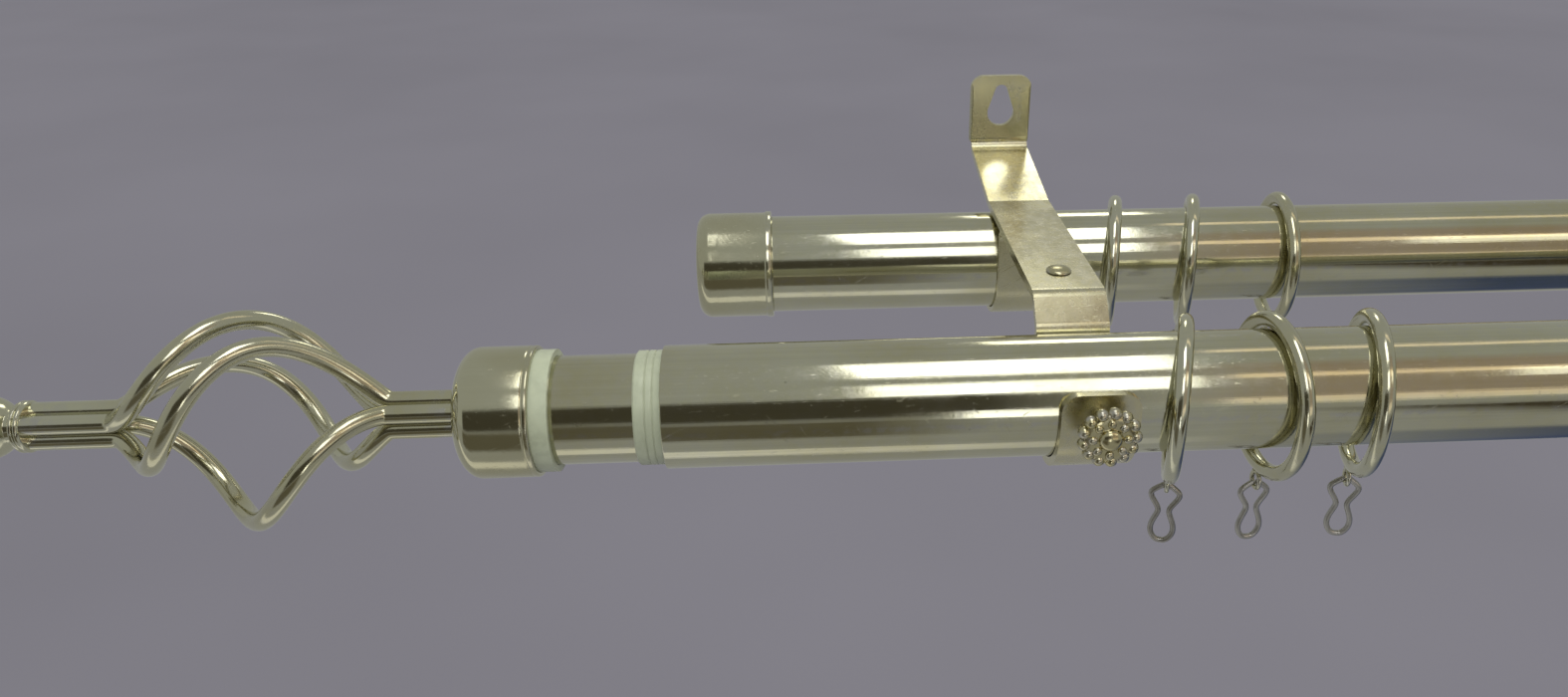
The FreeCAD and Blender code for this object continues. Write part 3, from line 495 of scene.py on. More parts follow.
class Nodes:
    """Adds and links nodes in one tree with few words."""

    def __init__(self, tree):
        self.tree = tree

    def add(self, kind, **values):
        node = self.tree.nodes.new(kind)
        for key, value in values.items():
            if hasattr(node, key):
                setattr(node, key, value)
            else:
                node.inputs[key.replace("_", " ")].default_value = value
        return node

    def link(self, source, target):
        self.tree.links.new(source, target)

    def maths(self, operation, first, second):
        node = self.add("ShaderNodeMath", operation=operation)
        for socket, value in zip(node.inputs, (first, second)):
            self.feed(socket, value)
        return node.outputs[0]

    def feed(self, socket, value):
        if hasattr(value, "is_linked"):
            self.link(value, socket)
        else:
            socket.default_value = value

    def noise(self, vector, scale, detail=3.0, roughness=0.5):
        node = self.add("ShaderNodeTexNoise")
        self.link(vector, node.inputs["Vector"])
        self.feed(node.inputs["Scale"], scale)
        node.inputs["Detail"].default_value = detail
        node.inputs["Roughness"].default_value = roughness
        return node.outputs["Fac"]

    def remap(self, value, low_in, high_in, low_out=0.0, high_out=1.0):
        node = self.add("ShaderNodeMapRange", clamp=True)
        self.link(value, node.inputs["Value"])
        for name, number in (("From Min", low_in), ("From Max", high_in),
                             ("To Min", low_out), ("To Max", high_out)):
            self.feed(node.inputs[name], number)
        return node.outputs["Result"]

    def bump(self, height, strength, distance, below=None):
        node = self.add("ShaderNodeBump")
        node.inputs["Strength"].default_value = strength
        node.inputs["Distance"].default_value = distance
        self.link(height, node.inputs["Height"])
        if below is not None:
            self.link(below, node.inputs["Normal"])
        return node.outputs["Normal"]

    def mix_surface(self, factor, first, second, output):
        """A blend of two shaders, linked to the output node."""
        mixer = self.add("ShaderNodeMixShader")
        for socket, value in zip(mixer.inputs, (factor, first, second)):
            self.link(value, socket)
        self.link(mixer.outputs[0], self.tree.nodes[output].inputs["Surface"])

    def seen_rays(self, rays):
        """One where the camera, a reflection or a refraction looks."""
        seen = self.maths("MAXIMUM", rays.outputs["Is Camera Ray"], rays.outputs["Is Glossy Ray"])
        return self.maths("MAXIMUM", seen, rays.outputs["Is Transmission Ray"])


def colour_sockets(sockets):
    """The colour sockets among a Mix node's inputs or outputs, by their order."""
    return [socket for socket in sockets if socket.type == "RGBA"]


def rgba(colour):
    return (*colour, 1.0)


def new_group(name, inputs, outputs):
    """An empty group with named sockets; returns its helper, its inputs and its output node."""
    group = bpy.data.node_groups.new(name, "ShaderNodeTree")
    for label, kind, default in inputs:
        socket = group.interface.new_socket(label, in_out="INPUT", socket_type=kind)
        socket.default_value = default
    for label, kind in outputs:
        group.interface.new_socket(label, in_out="OUTPUT", socket_type=kind)
    nodes = Nodes(group)
    entry = nodes.add("NodeGroupInput")
    leave = nodes.add("NodeGroupOutput")
    return nodes, entry.outputs, leave.inputs


FLOAT = "NodeSocketFloat"
COLOUR = "NodeSocketColor"


def edge_wear_group():
    """Rubbed edges and corners, broken up by a fine noise."""
    nodes, given, out = new_group(
        "Edge wear", (("Amount", FLOAT, 0.5), ("Breakup", FLOAT, 400.0)), (("Mask", FLOAT),))
    geometry = nodes.add("ShaderNodeNewGeometry")
    place = nodes.add("ShaderNodeTexCoord")
    sharp = nodes.remap(geometry.outputs["Pointiness"], 0.515, 0.56)
    grain = nodes.noise(place.outputs["Object"], given["Breakup"], 4.0)
    broken = nodes.remap(grain, 0.42, 0.6)
    nodes.link(nodes.maths("MULTIPLY", nodes.maths("MULTIPLY", sharp, broken), given["Amount"]),
               out["Mask"])
    return nodes.tree


def draw_lines_group():
    """Fine lines left along a drawn or rolled piece, stretched along X by default."""
    nodes, given, out = new_group(
        "Draw lines", (("Across", FLOAT, 900.0), ("Along", FLOAT, 6.0), ("Turn", FLOAT, 0.0)),
        (("Lines", FLOAT), ("Height", FLOAT)))
    place = nodes.add("ShaderNodeTexCoord")
    spin = nodes.add("ShaderNodeVectorRotate", rotation_type="Z_AXIS")
    nodes.link(place.outputs["Object"], spin.inputs["Vector"])
    nodes.link(given["Turn"], spin.inputs["Angle"])
    scale = nodes.add("ShaderNodeCombineXYZ")
    nodes.link(given["Along"], scale.inputs["X"])
    nodes.link(given["Across"], scale.inputs["Y"])
    nodes.link(given["Across"], scale.inputs["Z"])
    stretch = nodes.add("ShaderNodeVectorMath", operation="MULTIPLY")
    nodes.link(spin.outputs[0], stretch.inputs[0])
    nodes.link(scale.outputs[0], stretch.inputs[1])
    fine = nodes.noise(stretch.outputs[0], 1.0, 5.0, 0.65)
    nodes.link(nodes.remap(fine, 0.35, 0.68), out["Lines"])
    nodes.link(fine, out["Height"])
    return nodes.tree


def handling_group():
    """Smudges from handling, dust specks and short hairline scratches."""
    nodes, given, out = new_group(
        "Handling marks", (("Smudge size", FLOAT, 45.0), ("Scratches", FLOAT, 0.5),
                           ("Specks", FLOAT, 0.5)),
        (("Smudge", FLOAT), ("Scratch", FLOAT), ("Speck", FLOAT)))
    place = nodes.add("ShaderNodeTexCoord").outputs["Object"]
    cloud = nodes.noise(place, given["Smudge size"], 6.0, 0.6)
    nodes.link(nodes.remap(cloud, 0.45, 0.72), out["Smudge"])
    scratch_total = None
    for turn, stretch in ((0.5, (60.0, 2600.0, 900.0)), (2.1, (90.0, 2200.0, 1100.0))):
        spin = nodes.add("ShaderNodeVectorRotate", rotation_type="Y_AXIS")
        spin.inputs["Angle"].default_value = turn
        nodes.link(place, spin.inputs["Vector"])
        scaled = nodes.add("ShaderNodeVectorMath", operation="MULTIPLY")
        scaled.inputs[1].default_value = stretch
        nodes.link(spin.outputs[0], scaled.inputs[0])
        line = nodes.remap(nodes.noise(scaled.outputs[0], 1.0, 1.0), 0.70, 0.74)
        scratch_total = (line if scratch_total is None
                         else nodes.maths("MAXIMUM", scratch_total, line))
    nodes.link(nodes.maths("MULTIPLY", scratch_total, given["Scratches"]), out["Scratch"])
    cells = nodes.add("ShaderNodeTexVoronoi", feature="F1")
    cells.inputs["Scale"].default_value = 260.0
    nodes.link(place, cells.inputs["Vector"])
    dots = nodes.remap(cells.outputs["Distance"], 0.10, 0.04)
    rare = nodes.remap(nodes.noise(place, 90.0, 1.0), 0.60, 0.66)
    nodes.link(nodes.maths("MULTIPLY", nodes.maths("MULTIPLY", dots, rare), given["Specks"]),
               out["Speck"])
    return nodes.tree


def ripple_group():
    """Low waves and dimples in a polished skin."""
    nodes, given, out = new_group(
        "Skin ripple",
        (("Wave size", FLOAT, 70.0), ("Pit size", FLOAT, 900.0), ("Pits", FLOAT, 0.3)),
        (("Height", FLOAT),))
    place = nodes.add("ShaderNodeTexCoord").outputs["Object"]
    wave = nodes.noise(place, given["Wave size"], 2.0, 0.4)
    pits = nodes.noise(place, given["Pit size"], 2.0, 0.5)
    pitted = nodes.maths("MULTIPLY", pits, given["Pits"])
    nodes.link(nodes.maths("ADD", wave, pitted), out["Height"])
    return nodes.tree


def tone_group():
    """Slow change between two tones over a surface."""
    nodes, given, out = new_group(
        "Plating tone", (("First", COLOUR, (1, 1, 1, 1)), ("Second", COLOUR, (0.5, 0.5, 0.5, 1)),
                         ("Patch size", FLOAT, 30.0)),
        (("Tone", COLOUR), ("Patch", FLOAT)))
    place = nodes.add("ShaderNodeTexCoord").outputs["Object"]
    patch = nodes.remap(nodes.noise(place, given["Patch size"], 3.0, 0.55), 0.35, 0.7)
    nodes.link(blend_colour(nodes, patch, given["First"], given["Second"]), out["Tone"])
    nodes.link(patch, out["Patch"])
    return nodes.tree


GROUP_MAKERS = {
    "Edge wear": edge_wear_group,
    "Draw lines": draw_lines_group,
    "Handling marks": handling_group,
    "Skin ripple": ripple_group,
    "Plating tone": tone_group,
}


def use_group(nodes, name, **values):
    """Places a shared group in a material with its own values."""
    tree = bpy.data.node_groups.get(name) or GROUP_MAKERS[name]()
    node = nodes.add("ShaderNodeGroup", node_tree=tree)
    for key, value in values.items():
        node.inputs[key.replace("_", " ")].default_value = value
    return node


def blend_colour(nodes, factor, first, second):
    """A colour mix; each colour is a socket or three numbers."""
    mixer = nodes.add("ShaderNodeMix", data_type="RGBA")
    nodes.feed(mixer.inputs["Factor"], factor)
    for socket, value in zip(colour_sockets(mixer.inputs), (first, second)):
        nodes.feed(socket, value if hasattr(value, "is_linked") else rgba(value))
    return colour_sockets(mixer.outputs)[0]


def weighed_sum(nodes, base, terms):
    """A base value with each term's output added by its weight."""
    for output, weight in terms:
        base = nodes.maths("ADD", nodes.maths("MULTIPLY", output, weight), base)
    return base


def new_material(name):
    """A material with its nodes' helper and its main shader."""
    material = bpy.data.materials.new(name)
    material.use_nodes = True
    return material, Nodes(material.node_tree), material.node_tree.nodes.get("Principled BSDF")


def plated_metal(name, first, second, worn, roughness, line_turn=0.0, lines=0.5, along=6.0,
                 ripple=0.5, wave=70.0, wear=0.6, tarnish=0.25, specks=0.5, smudge=0.12,
                 streak=0.0):
    """Plated metal with tone patches, draw lines, handling marks and rubbed edges."""
    existing = bpy.data.materials.get(name)
    if existing:
        return existing
    material, nodes, shader = new_material(name)
    tone = use_group(nodes, "Plating tone", First=rgba(first), Second=rgba(second),
                     Patch_size=28.0)
    drawn = use_group(nodes, "Draw lines", Across=1100.0, Along=along, Turn=line_turn)
    marks = use_group(nodes, "Handling marks", Smudge_size=55.0, Scratches=0.6, Specks=specks)
    waves = use_group(nodes, "Skin ripple", Wave_size=wave, Pit_size=1100.0, Pits=0.12)
    rubbed = use_group(nodes, "Edge wear", Amount=wear, Breakup=450.0)
    streaks = use_group(nodes, "Draw lines", Across=300.0, Along=2.0, Turn=line_turn)

    dark = tuple(channel * 0.55 for channel in second)
    lined = nodes.maths("MULTIPLY", drawn.outputs["Lines"], tarnish * lines)
    colour = blend_colour(nodes, lined, tone.outputs["Tone"], dark)
    colour = blend_colour(nodes, marks.outputs["Speck"], colour, dark)
    colour = blend_colour(nodes, rubbed.outputs["Mask"], colour, worn)
    nodes.link(colour, shader.inputs["Base Color"])
    shader.inputs["Metallic"].default_value = 1.0
    nodes.link(weighed_sum(nodes, roughness, (
        (marks.outputs["Smudge"], smudge), (drawn.outputs["Lines"], 0.06 * lines),
        (marks.outputs["Scratch"], 0.2), (rubbed.outputs["Mask"], 0.12))),
        shader.inputs["Roughness"])

    skin = nodes.bump(waves.outputs["Height"], ripple, 0.1 * MM)
    skin = nodes.bump(streaks.outputs["Height"], streak, 0.05 * MM, skin)
    height = nodes.maths("SUBTRACT", drawn.outputs["Height"], marks.outputs["Scratch"])
    nodes.link(nodes.bump(height, 0.25 * lines, 0.006 * MM, skin), shader.inputs["Normal"])
    return material


def moulded_plastic(name, colour):
    """Milky moulded plastic with faint flow marks and rubbed rims."""
    existing = bpy.data.materials.get(name)
    if existing:
        return existing
    material, nodes, shader = new_material(name)
    lighter = tuple(min(1.0, channel * 1.25) for channel in colour)
    dirt = tuple(channel * 0.6 for channel in colour)
    tone = use_group(nodes, "Plating tone", First=rgba(colour), Second=rgba(lighter),
                     Patch_size=90.0)
    marks = use_group(nodes, "Handling marks", Smudge_size=120.0, Scratches=0.3, Specks=0.3)
    waves = use_group(nodes, "Skin ripple", Wave_size=180.0, Pit_size=1600.0, Pits=0.5)
    rubbed = use_group(nodes, "Edge wear", Amount=0.5, Breakup=700.0)
    shade = blend_colour(nodes, nodes.maths("MULTIPLY", marks.outputs["Smudge"], 0.35),
                         tone.outputs["Tone"], dirt)
    shade = blend_colour(nodes, rubbed.outputs["Mask"], shade, lighter)
    nodes.link(shade, shader.inputs["Base Color"])
    nodes.link(weighed_sum(nodes, 0.34, ((marks.outputs["Smudge"], 0.2),)),
               shader.inputs["Roughness"])
    shader.inputs["Subsurface Weight"].default_value = 0.12
    shader.inputs["Subsurface Radius"].default_value = (0.002, 0.002, 0.0015)
    nodes.link(nodes.bump(waves.outputs["Height"], 0.5, 0.04 * MM), shader.inputs["Normal"])
    return material


def champagne_plating(name, **finish):
    paint = settings().colours
    return plated_metal(name, paint.champagne, paint.champagne_deep, paint.bare_steel, **finish)


def tube_plating():
    return champagne_plating("tube_plating", roughness=0.07, lines=0.7, ripple=0.35, wave=35.0,
                             smudge=0.06, streak=0.8)


def finial_plating():
    return champagne_plating("finial_plating", roughness=0.10, lines=0.3, ripple=0.6, wave=110.0,
                             wear=0.7)


def cap_plating():
    return champagne_plating("cap_plating", roughness=0.10, line_turn=math.pi / 2, lines=0.4,
                             ripple=0.9, wave=120.0)


def ring_plating():
    return champagne_plating("ring_plating", roughness=0.11, lines=0.3, ripple=0.7, wave=160.0,
                             wear=0.8)


def strap_plating():
    paint = settings().colours
    return plated_metal("strap_plating", paint.strap_gold, paint.champagne_deep, paint.bare_steel,
                        roughness=0.17, line_turn=math.pi / 2, lines=0.6, along=14.0, ripple=0.6,
                        wave=90.0, wear=0.3, tarnish=0.15, specks=0.1)


def brass_casting():
    paint = settings().colours
    return plated_metal("brass_casting", paint.cast_brass, paint.champagne_deep, paint.bare_steel,
                        roughness=0.18, lines=0.4, ripple=0.9, wave=400.0, wear=0.9, tarnish=0.8)


def wire_plating():
    paint = settings().colours
    return plated_metal("wire_plating", paint.dull_wire, paint.bare_steel, paint.bare_steel,
                        roughness=0.28, lines=0.6, ripple=0.5, wave=500.0, wear=0.8)


def plastic():
    return moulded_plastic("milky_plastic", settings().colours.pale_plastic)


# Pieces

def tube_profile(start, end, radius, wall, rounding):
    """Half section of a tube with rounded cut ends, as a closed line."""
    bore = radius - wall
    near = arc((start + rounding, radius - rounding), rounding, 180, 90, 3)
    far = arc((end - rounding, radius - rounding), rounding, 90, 0, 3)
    return [(start, bore), *near, *far, (end, bore), (start, bore)]


class POLE_OT_tubes(bpy.types.Operator):
    """Two fixed tubes and the two thinner tubes that slide in them"""
    bl_idname = "curtain_pole.tubes"
    bl_label = "Tubes"

    def execute(self, context):
        sizes = settings().poles
        for row in ROWS:
            for kind, diameter in (("outer", sizes.outer_diameter),
                                   ("inner", sizes.inner_diameter)):
                node = f"{row}_{kind}_tube"
                start, end = low(node).x, high(node).x
                profile = tube_profile(start, end, diameter / 2, sizes.wall, sizes.mouth_round)
                origin = (0, POLE_AXES[row], POLE_Z)
                piece = turned(f"{node}_plated", origin, ALONG_X, profile, segments=128)
                mount(piece, node, tube_plating())
        return {"FINISHED"}


class POLE_OT_plastics(bpy.types.Operator):
    """Pale bushes, adapter, plug and cap sleeve that centre one tube in another"""
    bl_idname = "curtain_pole.plastics"
    bl_label = "Plastic bushes"

    def execute(self, context):
        sizes = settings().poles
        hole = sizes.inner_diameter / 2 + sizes.clearance
        sleeve = sizes.outer_diameter / 2 - sizes.wall - sizes.clearance
        for row, facing in (("front", 1), ("rear", -1)):
            node = f"{row}_guide_bush"
            face = near_end(node, facing)
            length = depth(node, 0)
            collar = hole + 0.65 * MM
            step = sizes.collar_length
            groove = 0.25 * MM
            profile = [(0, hole + 0.2 * MM), (0.2 * MM, hole), (length, hole), (length, sleeve),
                       (step, sleeve), (step, collar)]
            for rib in (0.72, 0.44):
                profile += [(step * rib + groove, collar), (step * rib, collar - groove),
                            (step * rib - groove, collar)]
            profile += [(0.4 * MM, collar), (0, collar - 0.4 * MM), (0, hole + 0.2 * MM)]
            origin = (face, POLE_AXES[row], POLE_Z)
            piece = turned(f"{node}_moulded", origin, ALONG_X * facing, profile,
                           segments=96, rounding=0.06 * MM)
            mount(piece, node, plastic())
        for node in ("finial_adapter_left", "finial_plug_right", "rear_cap_sleeve"):
            for slot in frame["nodes"][node].material_slots:
                slot.material = plastic()
        return {"FINISHED"}


class POLE_OT_finial_cups(bpy.types.Operator):
    """Domed cups that close the front pole and carry the rods"""
    bl_idname = "curtain_pole.finial_cups"
    bl_label = "Finial cups"

    def execute(self, context):
        sizes = settings().finials
        for side, facing in (("left", 1), ("right", -1)):
            node = f"finial_cup_{side}"
            back = near_end(node, facing)
            length = depth(node, 0)
            radius = depth(node, 2) / 2
            boss = sizes.cup_boss / 2
            wall = sizes.cup_wall
            dome = sizes.cup_dome
            shoulder = arc((dome, boss), (dome, radius - boss), 180, 90, 12)
            inside = arc((dome, boss), (dome - wall, radius - boss - wall), 90, 180, 8)
            bead = 0.22 * MM
            rim = [(length - 1.6 * MM, radius), (length - 1.3 * MM, radius - bead),
                   (length - 1.0 * MM, radius), (length - 0.3 * MM, radius),
                   (length, radius - 0.3 * MM)]
            ring = [(0, 0), (0, boss - 1.2 * MM), (-0.35 * MM, boss - 0.8 * MM),
                    (-0.35 * MM, boss - 0.3 * MM)]
            profile = [*ring, *shoulder, *rim, (length, radius - wall), *inside, (wall, 0)]
            origin = (back, FRONT_AXIS.y, POLE_Z)
            piece = turned(f"{node}_plated", origin, ALONG_X * facing, profile, segments=112,
                           rounding=0.12 * MM)
            mount(piece, node, finial_plating())
        return {"FINISHED"}


def rod_points(index, facing, start, sizes):
    """Centre line of one rod: straight, a twisted bulge, and straight again."""
    radius = sizes.rod_diameter / 2
    bundle = radius * math.sqrt(2) + 0.05 * MM
    bulge = sizes.basket_diameter / 2 - radius
    turns = 48
    points = []
    for i in range(turns + 1):
        share = i / turns
        reach = bundle + (bulge - bundle) * math.sin(math.pi * share) ** sizes.swell_power
        angle = sizes.rod_phase + math.radians(90.0 * index) + sizes.basket_twist * (share - 0.5)
        angle += math.radians(ROD_LEANS[index]) * math.sin(math.pi * share) ** 2
        along = start + facing * (sizes.inner_stem + sizes.basket_length * share)
        points.append(Vector((along, FRONT_AXIS.y - facing * reach * math.cos(angle),
                              POLE_Z + reach * math.sin(angle))))
    step = ALONG_X * facing
    stem = [points[0] - step * sizes.inner_stem * share for share in (1.0, 0.66, 0.33, 0.1)]
    tail = [points[-1] + step * sizes.outer_stem * share for share in (0.1, 0.33, 0.66, 1.0)]
    return stem + points + tail


class POLE_OT_finial_rods(bpy.types.Operator):
    """Four round rods a side, twisted and sprung apart into a basket"""
    bl_idname = "curtain_pole.finial_rods"
    bl_label = "Finial baskets"

    def execute(self, context):
        sizes = settings().finials
        for side, facing in (("left", -1), ("right", 1)):
            start = near_end(f"finial_cup_{side}", -facing)
            for index in range(4):
                node = f"finial_rod_{side}_{index + 1}"
                points = rod_points(index, facing, start, sizes)
                piece = wire(f"{node}_plated", points, sizes.rod_diameter / 2, sides=8, steps=3)
                mount(piece, node, finial_plating())
        return {"FINISHED"}


class POLE_OT_finial_tips(bpy.types.Operator):
    """Turned tips: collar, ball, neck and button"""
    bl_idname = "curtain_pole.finial_tips"
    bl_label = "Finial tips"

    def execute(self, context):
        collar_r, collar = 5.75 * MM, 2.4 * MM
        neck_r, neck = 3.75 * MM, 1.6 * MM
        ball_r, button_r, button_depth = 7.25 * MM, 3.0 * MM, 2.0 * MM
        ball_at = collar + neck * 0.5 + ball_r
        for side, facing in (("left", -1), ("right", 1)):
            node = f"finial_tip_{side}"
            start = near_end(node, facing)
            length = depth(node, 0)
            open_angle = math.degrees(math.asin(neck_r / ball_r))
            ball = arc((ball_at, 0), ball_r, 180 - open_angle, open_angle, 20)
            button = arc((length - button_depth, 0), (button_depth, button_r), 130, 0, 10)
            profile = [(0, 0), (0, collar_r - 0.5 * MM), (0.4 * MM, collar_r),
                       (collar * 0.4, collar_r), (collar * 0.5, collar_r - 0.5 * MM),
                       (collar * 0.6, collar_r), (collar - 0.4 * MM, collar_r),
                       (collar, collar_r - 0.5 * MM), (collar, neck_r), *ball, *button]
            origin = (start, FRONT_AXIS.y, POLE_Z)
            piece = turned(f"{node}_plated", origin, ALONG_X * facing, profile,
                           segments=72, rounding=0.1 * MM)
            mount(piece, node, finial_plating())
        return {"FINISHED"}


class POLE_OT_end_caps(bpy.types.Operator):
    """Drawn caps on the ends of the rear pole"""
    bl_idname = "curtain_pole.end_caps"
    bl_label = "End caps"

    def execute(self, context):
        sizes = settings().poles
        hole = sizes.outer_diameter / 2 + sizes.clearance
        for side, facing in (("left", 1), ("right", -1)):
            node = f"rear_cap_{side}"
            back = near_end(node, facing)
            length = depth(node, 0)
            lip_r = depth(node, 2) / 2
            radius = lip_r - 0.35 * MM
            bend = sizes.cap_round
            shoulder = arc((bend, radius - bend), bend, 180, 90, 12)
            end = sizes.cap_wall
            profile = [(0.25 * MM, 0), (0.15 * MM, radius * 0.45), *shoulder,
                       (length - 1.9 * MM, radius), (length - 1.6 * MM, lip_r),
                       (length - 0.3 * MM, lip_r), (length, lip_r - 0.2 * MM), (length, hole),
                       (end, hole), (end, 0)]
            origin = (back, REAR_AXIS.y, POLE_Z)
            piece = turned(f"{node}_plated", origin, ALONG_X * facing, profile,
                           segments=112, rounding=0.1 * MM)
            mount(piece, node, cap_plating())
        return {"FINISHED"}


def cut_with(piece, cutter):
    """Cuts one mesh out of another and removes the cutter."""
    apply_modifier(piece, "BOOLEAN", operation="DIFFERENCE", object=cutter, solver="EXACT")
    bpy.data.objects.remove(cutter)


def drill(piece, name, origin, axis, radius):
    """A round hole through a strap, centred on the origin."""
    half = DRILL_LENGTH / 2
    profile = [(-half, 0), (-half, radius), (half, radius), (half, 0)]
    cut_with(piece, turned(name, origin, axis, profile, segments=40))


def keyhole_cutter(name, x, sizes):
    """A teardrop that lets a screw head in below and seats its neck above."""
    seat, entry, gap = sizes.keyhole_seat, sizes.keyhole_entry, sizes.keyhole_length
    lean = math.degrees(math.asin((entry - seat) / gap))
    upper = sweep_round((x, 0), seat, lean, 180 - lean, 14)
    lower = sweep_round((x, -gap), entry, 180 - lean, 360 + lean, 30)
    outline = [Vector((point.x, 4 * MM, point.y)) for point in upper + lower]
    piece = chain(name, outline + [outline[0]])
    bpy.ops.mesh.remove_doubles(threshold=0.01 * MM)
    bpy.ops.mesh.edge_face_add()
    draw_out((0, -10 * MM, 0))
    return piece


def round_corners(piece, test, radius):
    """Rounds the free corners of a strap before it gets its thickness."""
    only(piece)
    bpy.ops.object.mode_set(mode="EDIT")
    choose(piece, test)
    bpy.ops.mesh.bevel(offset=radius, offset_type="OFFSET", segments=8, affect="VERTICES")
    bpy.ops.object.mode_set(mode="OBJECT")


def thicken(piece, thickness, toward):
    """Gives a strap its thickness on one side of the line that was drawn."""
    apply_modifier(piece, "SOLIDIFY", thickness=thickness, offset=toward, use_even_offset=True,
                   use_quality_normals=True)


def arm_underside():
    """Height of the arm's lower face, just above the poles."""
    seat = settings().poles.outer_diameter / 2 + settings().brackets.seat_clearance
    return POLE_Z + seat + ARM_GAP


def finish_strap(piece, node, sizes):
    """Softens a strap's edges and mounts it."""
    soften(piece, sizes.edge_round, segments=3, limit=50.0)
    smooth(piece, 35.0)
    apply_modifier(piece, "WEIGHTED_NORMAL", weight=100, keep_sharp=True)
    mount(piece, node, strap_plating())


def drill_for_rivet(piece, node, side, x):
    rivet = middle(f"cradle_rivet_{side}")
    drill(piece, f"{node}_rivet_hole", (x, rivet.y, arm_underside()), ALONG_Z, RIVET_HOLE)


class POLE_OT_wall_brackets(bpy.types.Operator):
    """Folded strap brackets: wall plate with keyhole, arm, front cradle and lip"""
    bl_idname = "curtain_pole.wall_brackets"
    bl_label = "Wall brackets"

    def execute(self, context):
        sizes = settings().brackets
        cradle = settings().poles.outer_diameter / 2 + sizes.seat_clearance
        outer = cradle + sizes.strap_thickness
        front, rear = FRONT_AXIS.y, REAR_AXIS.y
        for side in SIDES:
            node = f"wall_bracket_{side}"
            x = middle(node).x
            top = high(node).z
            under = arm_underside()
            run = rounded_run([(0, top), (0, PLATE_FOLD), (rear + SLANT_OUT, under),
                               (front + ARM_END, under), (front + outer, POLE_Z + CRADLE_BACK),
                               (front + outer, POLE_Z)],
                              sizes.bend_radius, sizes.strap_thickness)
            run += sweep_round((front, POLE_Z), outer, 0, -180, 30)[1:]
            lip_top = POLE_Z + LIP_TOP
            run.append(Vector((front - outer, lip_top)))
            piece = folded(f"{node}_plated", run, x, sizes.strap_width)
            spread = depth(node, 0) / sizes.strap_width
            resize_part(piece, lambda co: co.z > PLATE_LOW and co.y > -1 * MM,
                        (spread, 1, 1), (x, 0, 0))
            round_corners(piece, lambda co: co.z > top - NEAR, sizes.corner_radius)
            round_corners(piece, lambda co: co.y < front - outer + NEAR and co.z > lip_top - NEAR,
                          sizes.corner_radius)
            thicken(piece, sizes.strap_thickness, self.inward(piece))
            self.bevel_plate(piece, x, sizes)
            cut_with(piece, keyhole_cutter(f"{node}_keyhole", x, sizes))
            drill_for_rivet(piece, node, side, x)
            screw = middle(f"thumbscrew_{side}")
            drill(piece, f"{node}_screw_hole", (x, front - outer, screw.z), ALONG_Y, SCREW_HOLE)
            finish_strap(piece, node, sizes)
        return {"FINISHED"}

    @staticmethod
    def inward(piece):
        """Which way the strap's thickness goes: away from the wall."""
        plate = max(piece.data.polygons, key=lambda face: face.center.z)
        return -1.0 if plate.normal.y > 0 else 1.0

    @staticmethod
    def bevel_plate(piece, x, sizes):
        """The long sides of the wall plate are rolled back."""
        front_face = -sizes.strap_thickness + 0.05 * MM
        half = 9.0 * MM
        only(piece)
        bpy.ops.object.mode_set(mode="EDIT")
        choose(piece, lambda co: front_face - 0.2 * MM < co.y < front_face
               and PLATE_LOW < co.z < 2 * MM and abs(co.x - x) > half, "EDGE")
        bpy.ops.mesh.bevel(offset=sizes.plate_bevel * 0.7, offset_type="OFFSET", segments=4,
                           affect="EDGES")
        bpy.ops.object.mode_set(mode="OBJECT")


class POLE_OT_rear_cradles(bpy.types.Operator):
    """Straps riveted under the arms that carry the rear pole"""
    bl_idname = "curtain_pole.rear_cradles"
    bl_label = "Rear cradles"

    def execute(self, context):
        sizes = settings().brackets
        cradle = settings().poles.outer_diameter / 2 + sizes.seat_clearance
        rear = REAR_AXIS.y
        under = arm_underside()
        for side in SIDES:
            node = f"rear_cradle_{side}"
            x = middle(node).x
            corners = [(low(node).y, under), (rear - cradle, under), (rear - cradle, POLE_Z)]
            run = rounded_run(corners, sizes.bend_radius, sizes.cradle_thickness)
            run += sweep_round((rear, POLE_Z), cradle, 180, 325, 26)[1:]
            piece = folded(f"{node}_plated", run, x, depth(node, 0))
            round_corners(piece, lambda co: co.y < low(node).y + NEAR, sizes.corner_radius * 0.7)
            tab = min(piece.data.polygons, key=lambda face: face.center.y)
            thicken(piece, sizes.cradle_thickness, 1.0 if tab.normal.z < 0 else -1.0)
            drill_for_rivet(piece, node, side, x)
            finish_strap(piece, node, sizes)
        return {"FINISHED"}


class POLE_OT_rivets(bpy.types.Operator):
    """Rivets that hold the rear cradles under the arms"""
    bl_idname = "curtain_pole.rivets"
    bl_label = "Rivets"

    def execute(self, context):
        shank, head, rise = 1.6 * MM, 3.2 * MM, 1.3 * MM
        for side in SIDES:
            node = f"cradle_rivet_{side}"
            bottom = low(node)
            length = depth(node, 2)
            x, y = middle(node).x, middle(node).y
            low_head = arc((rise, 0), (rise, head), 180, 90, 8)
            high_head = arc((length - rise * 0.9, 0), (rise * 0.9, head), 90, 0, 8)
            profile = [*low_head, (rise, shank), (length - rise * 0.9, shank), *high_head]
            piece = turned(f"{node}_headed", (x, y, bottom.z), ALONG_Z, profile, segments=48,
                           rounding=0.08 * MM)
            mount(piece, node, brass_casting())
        return {"FINISHED"}


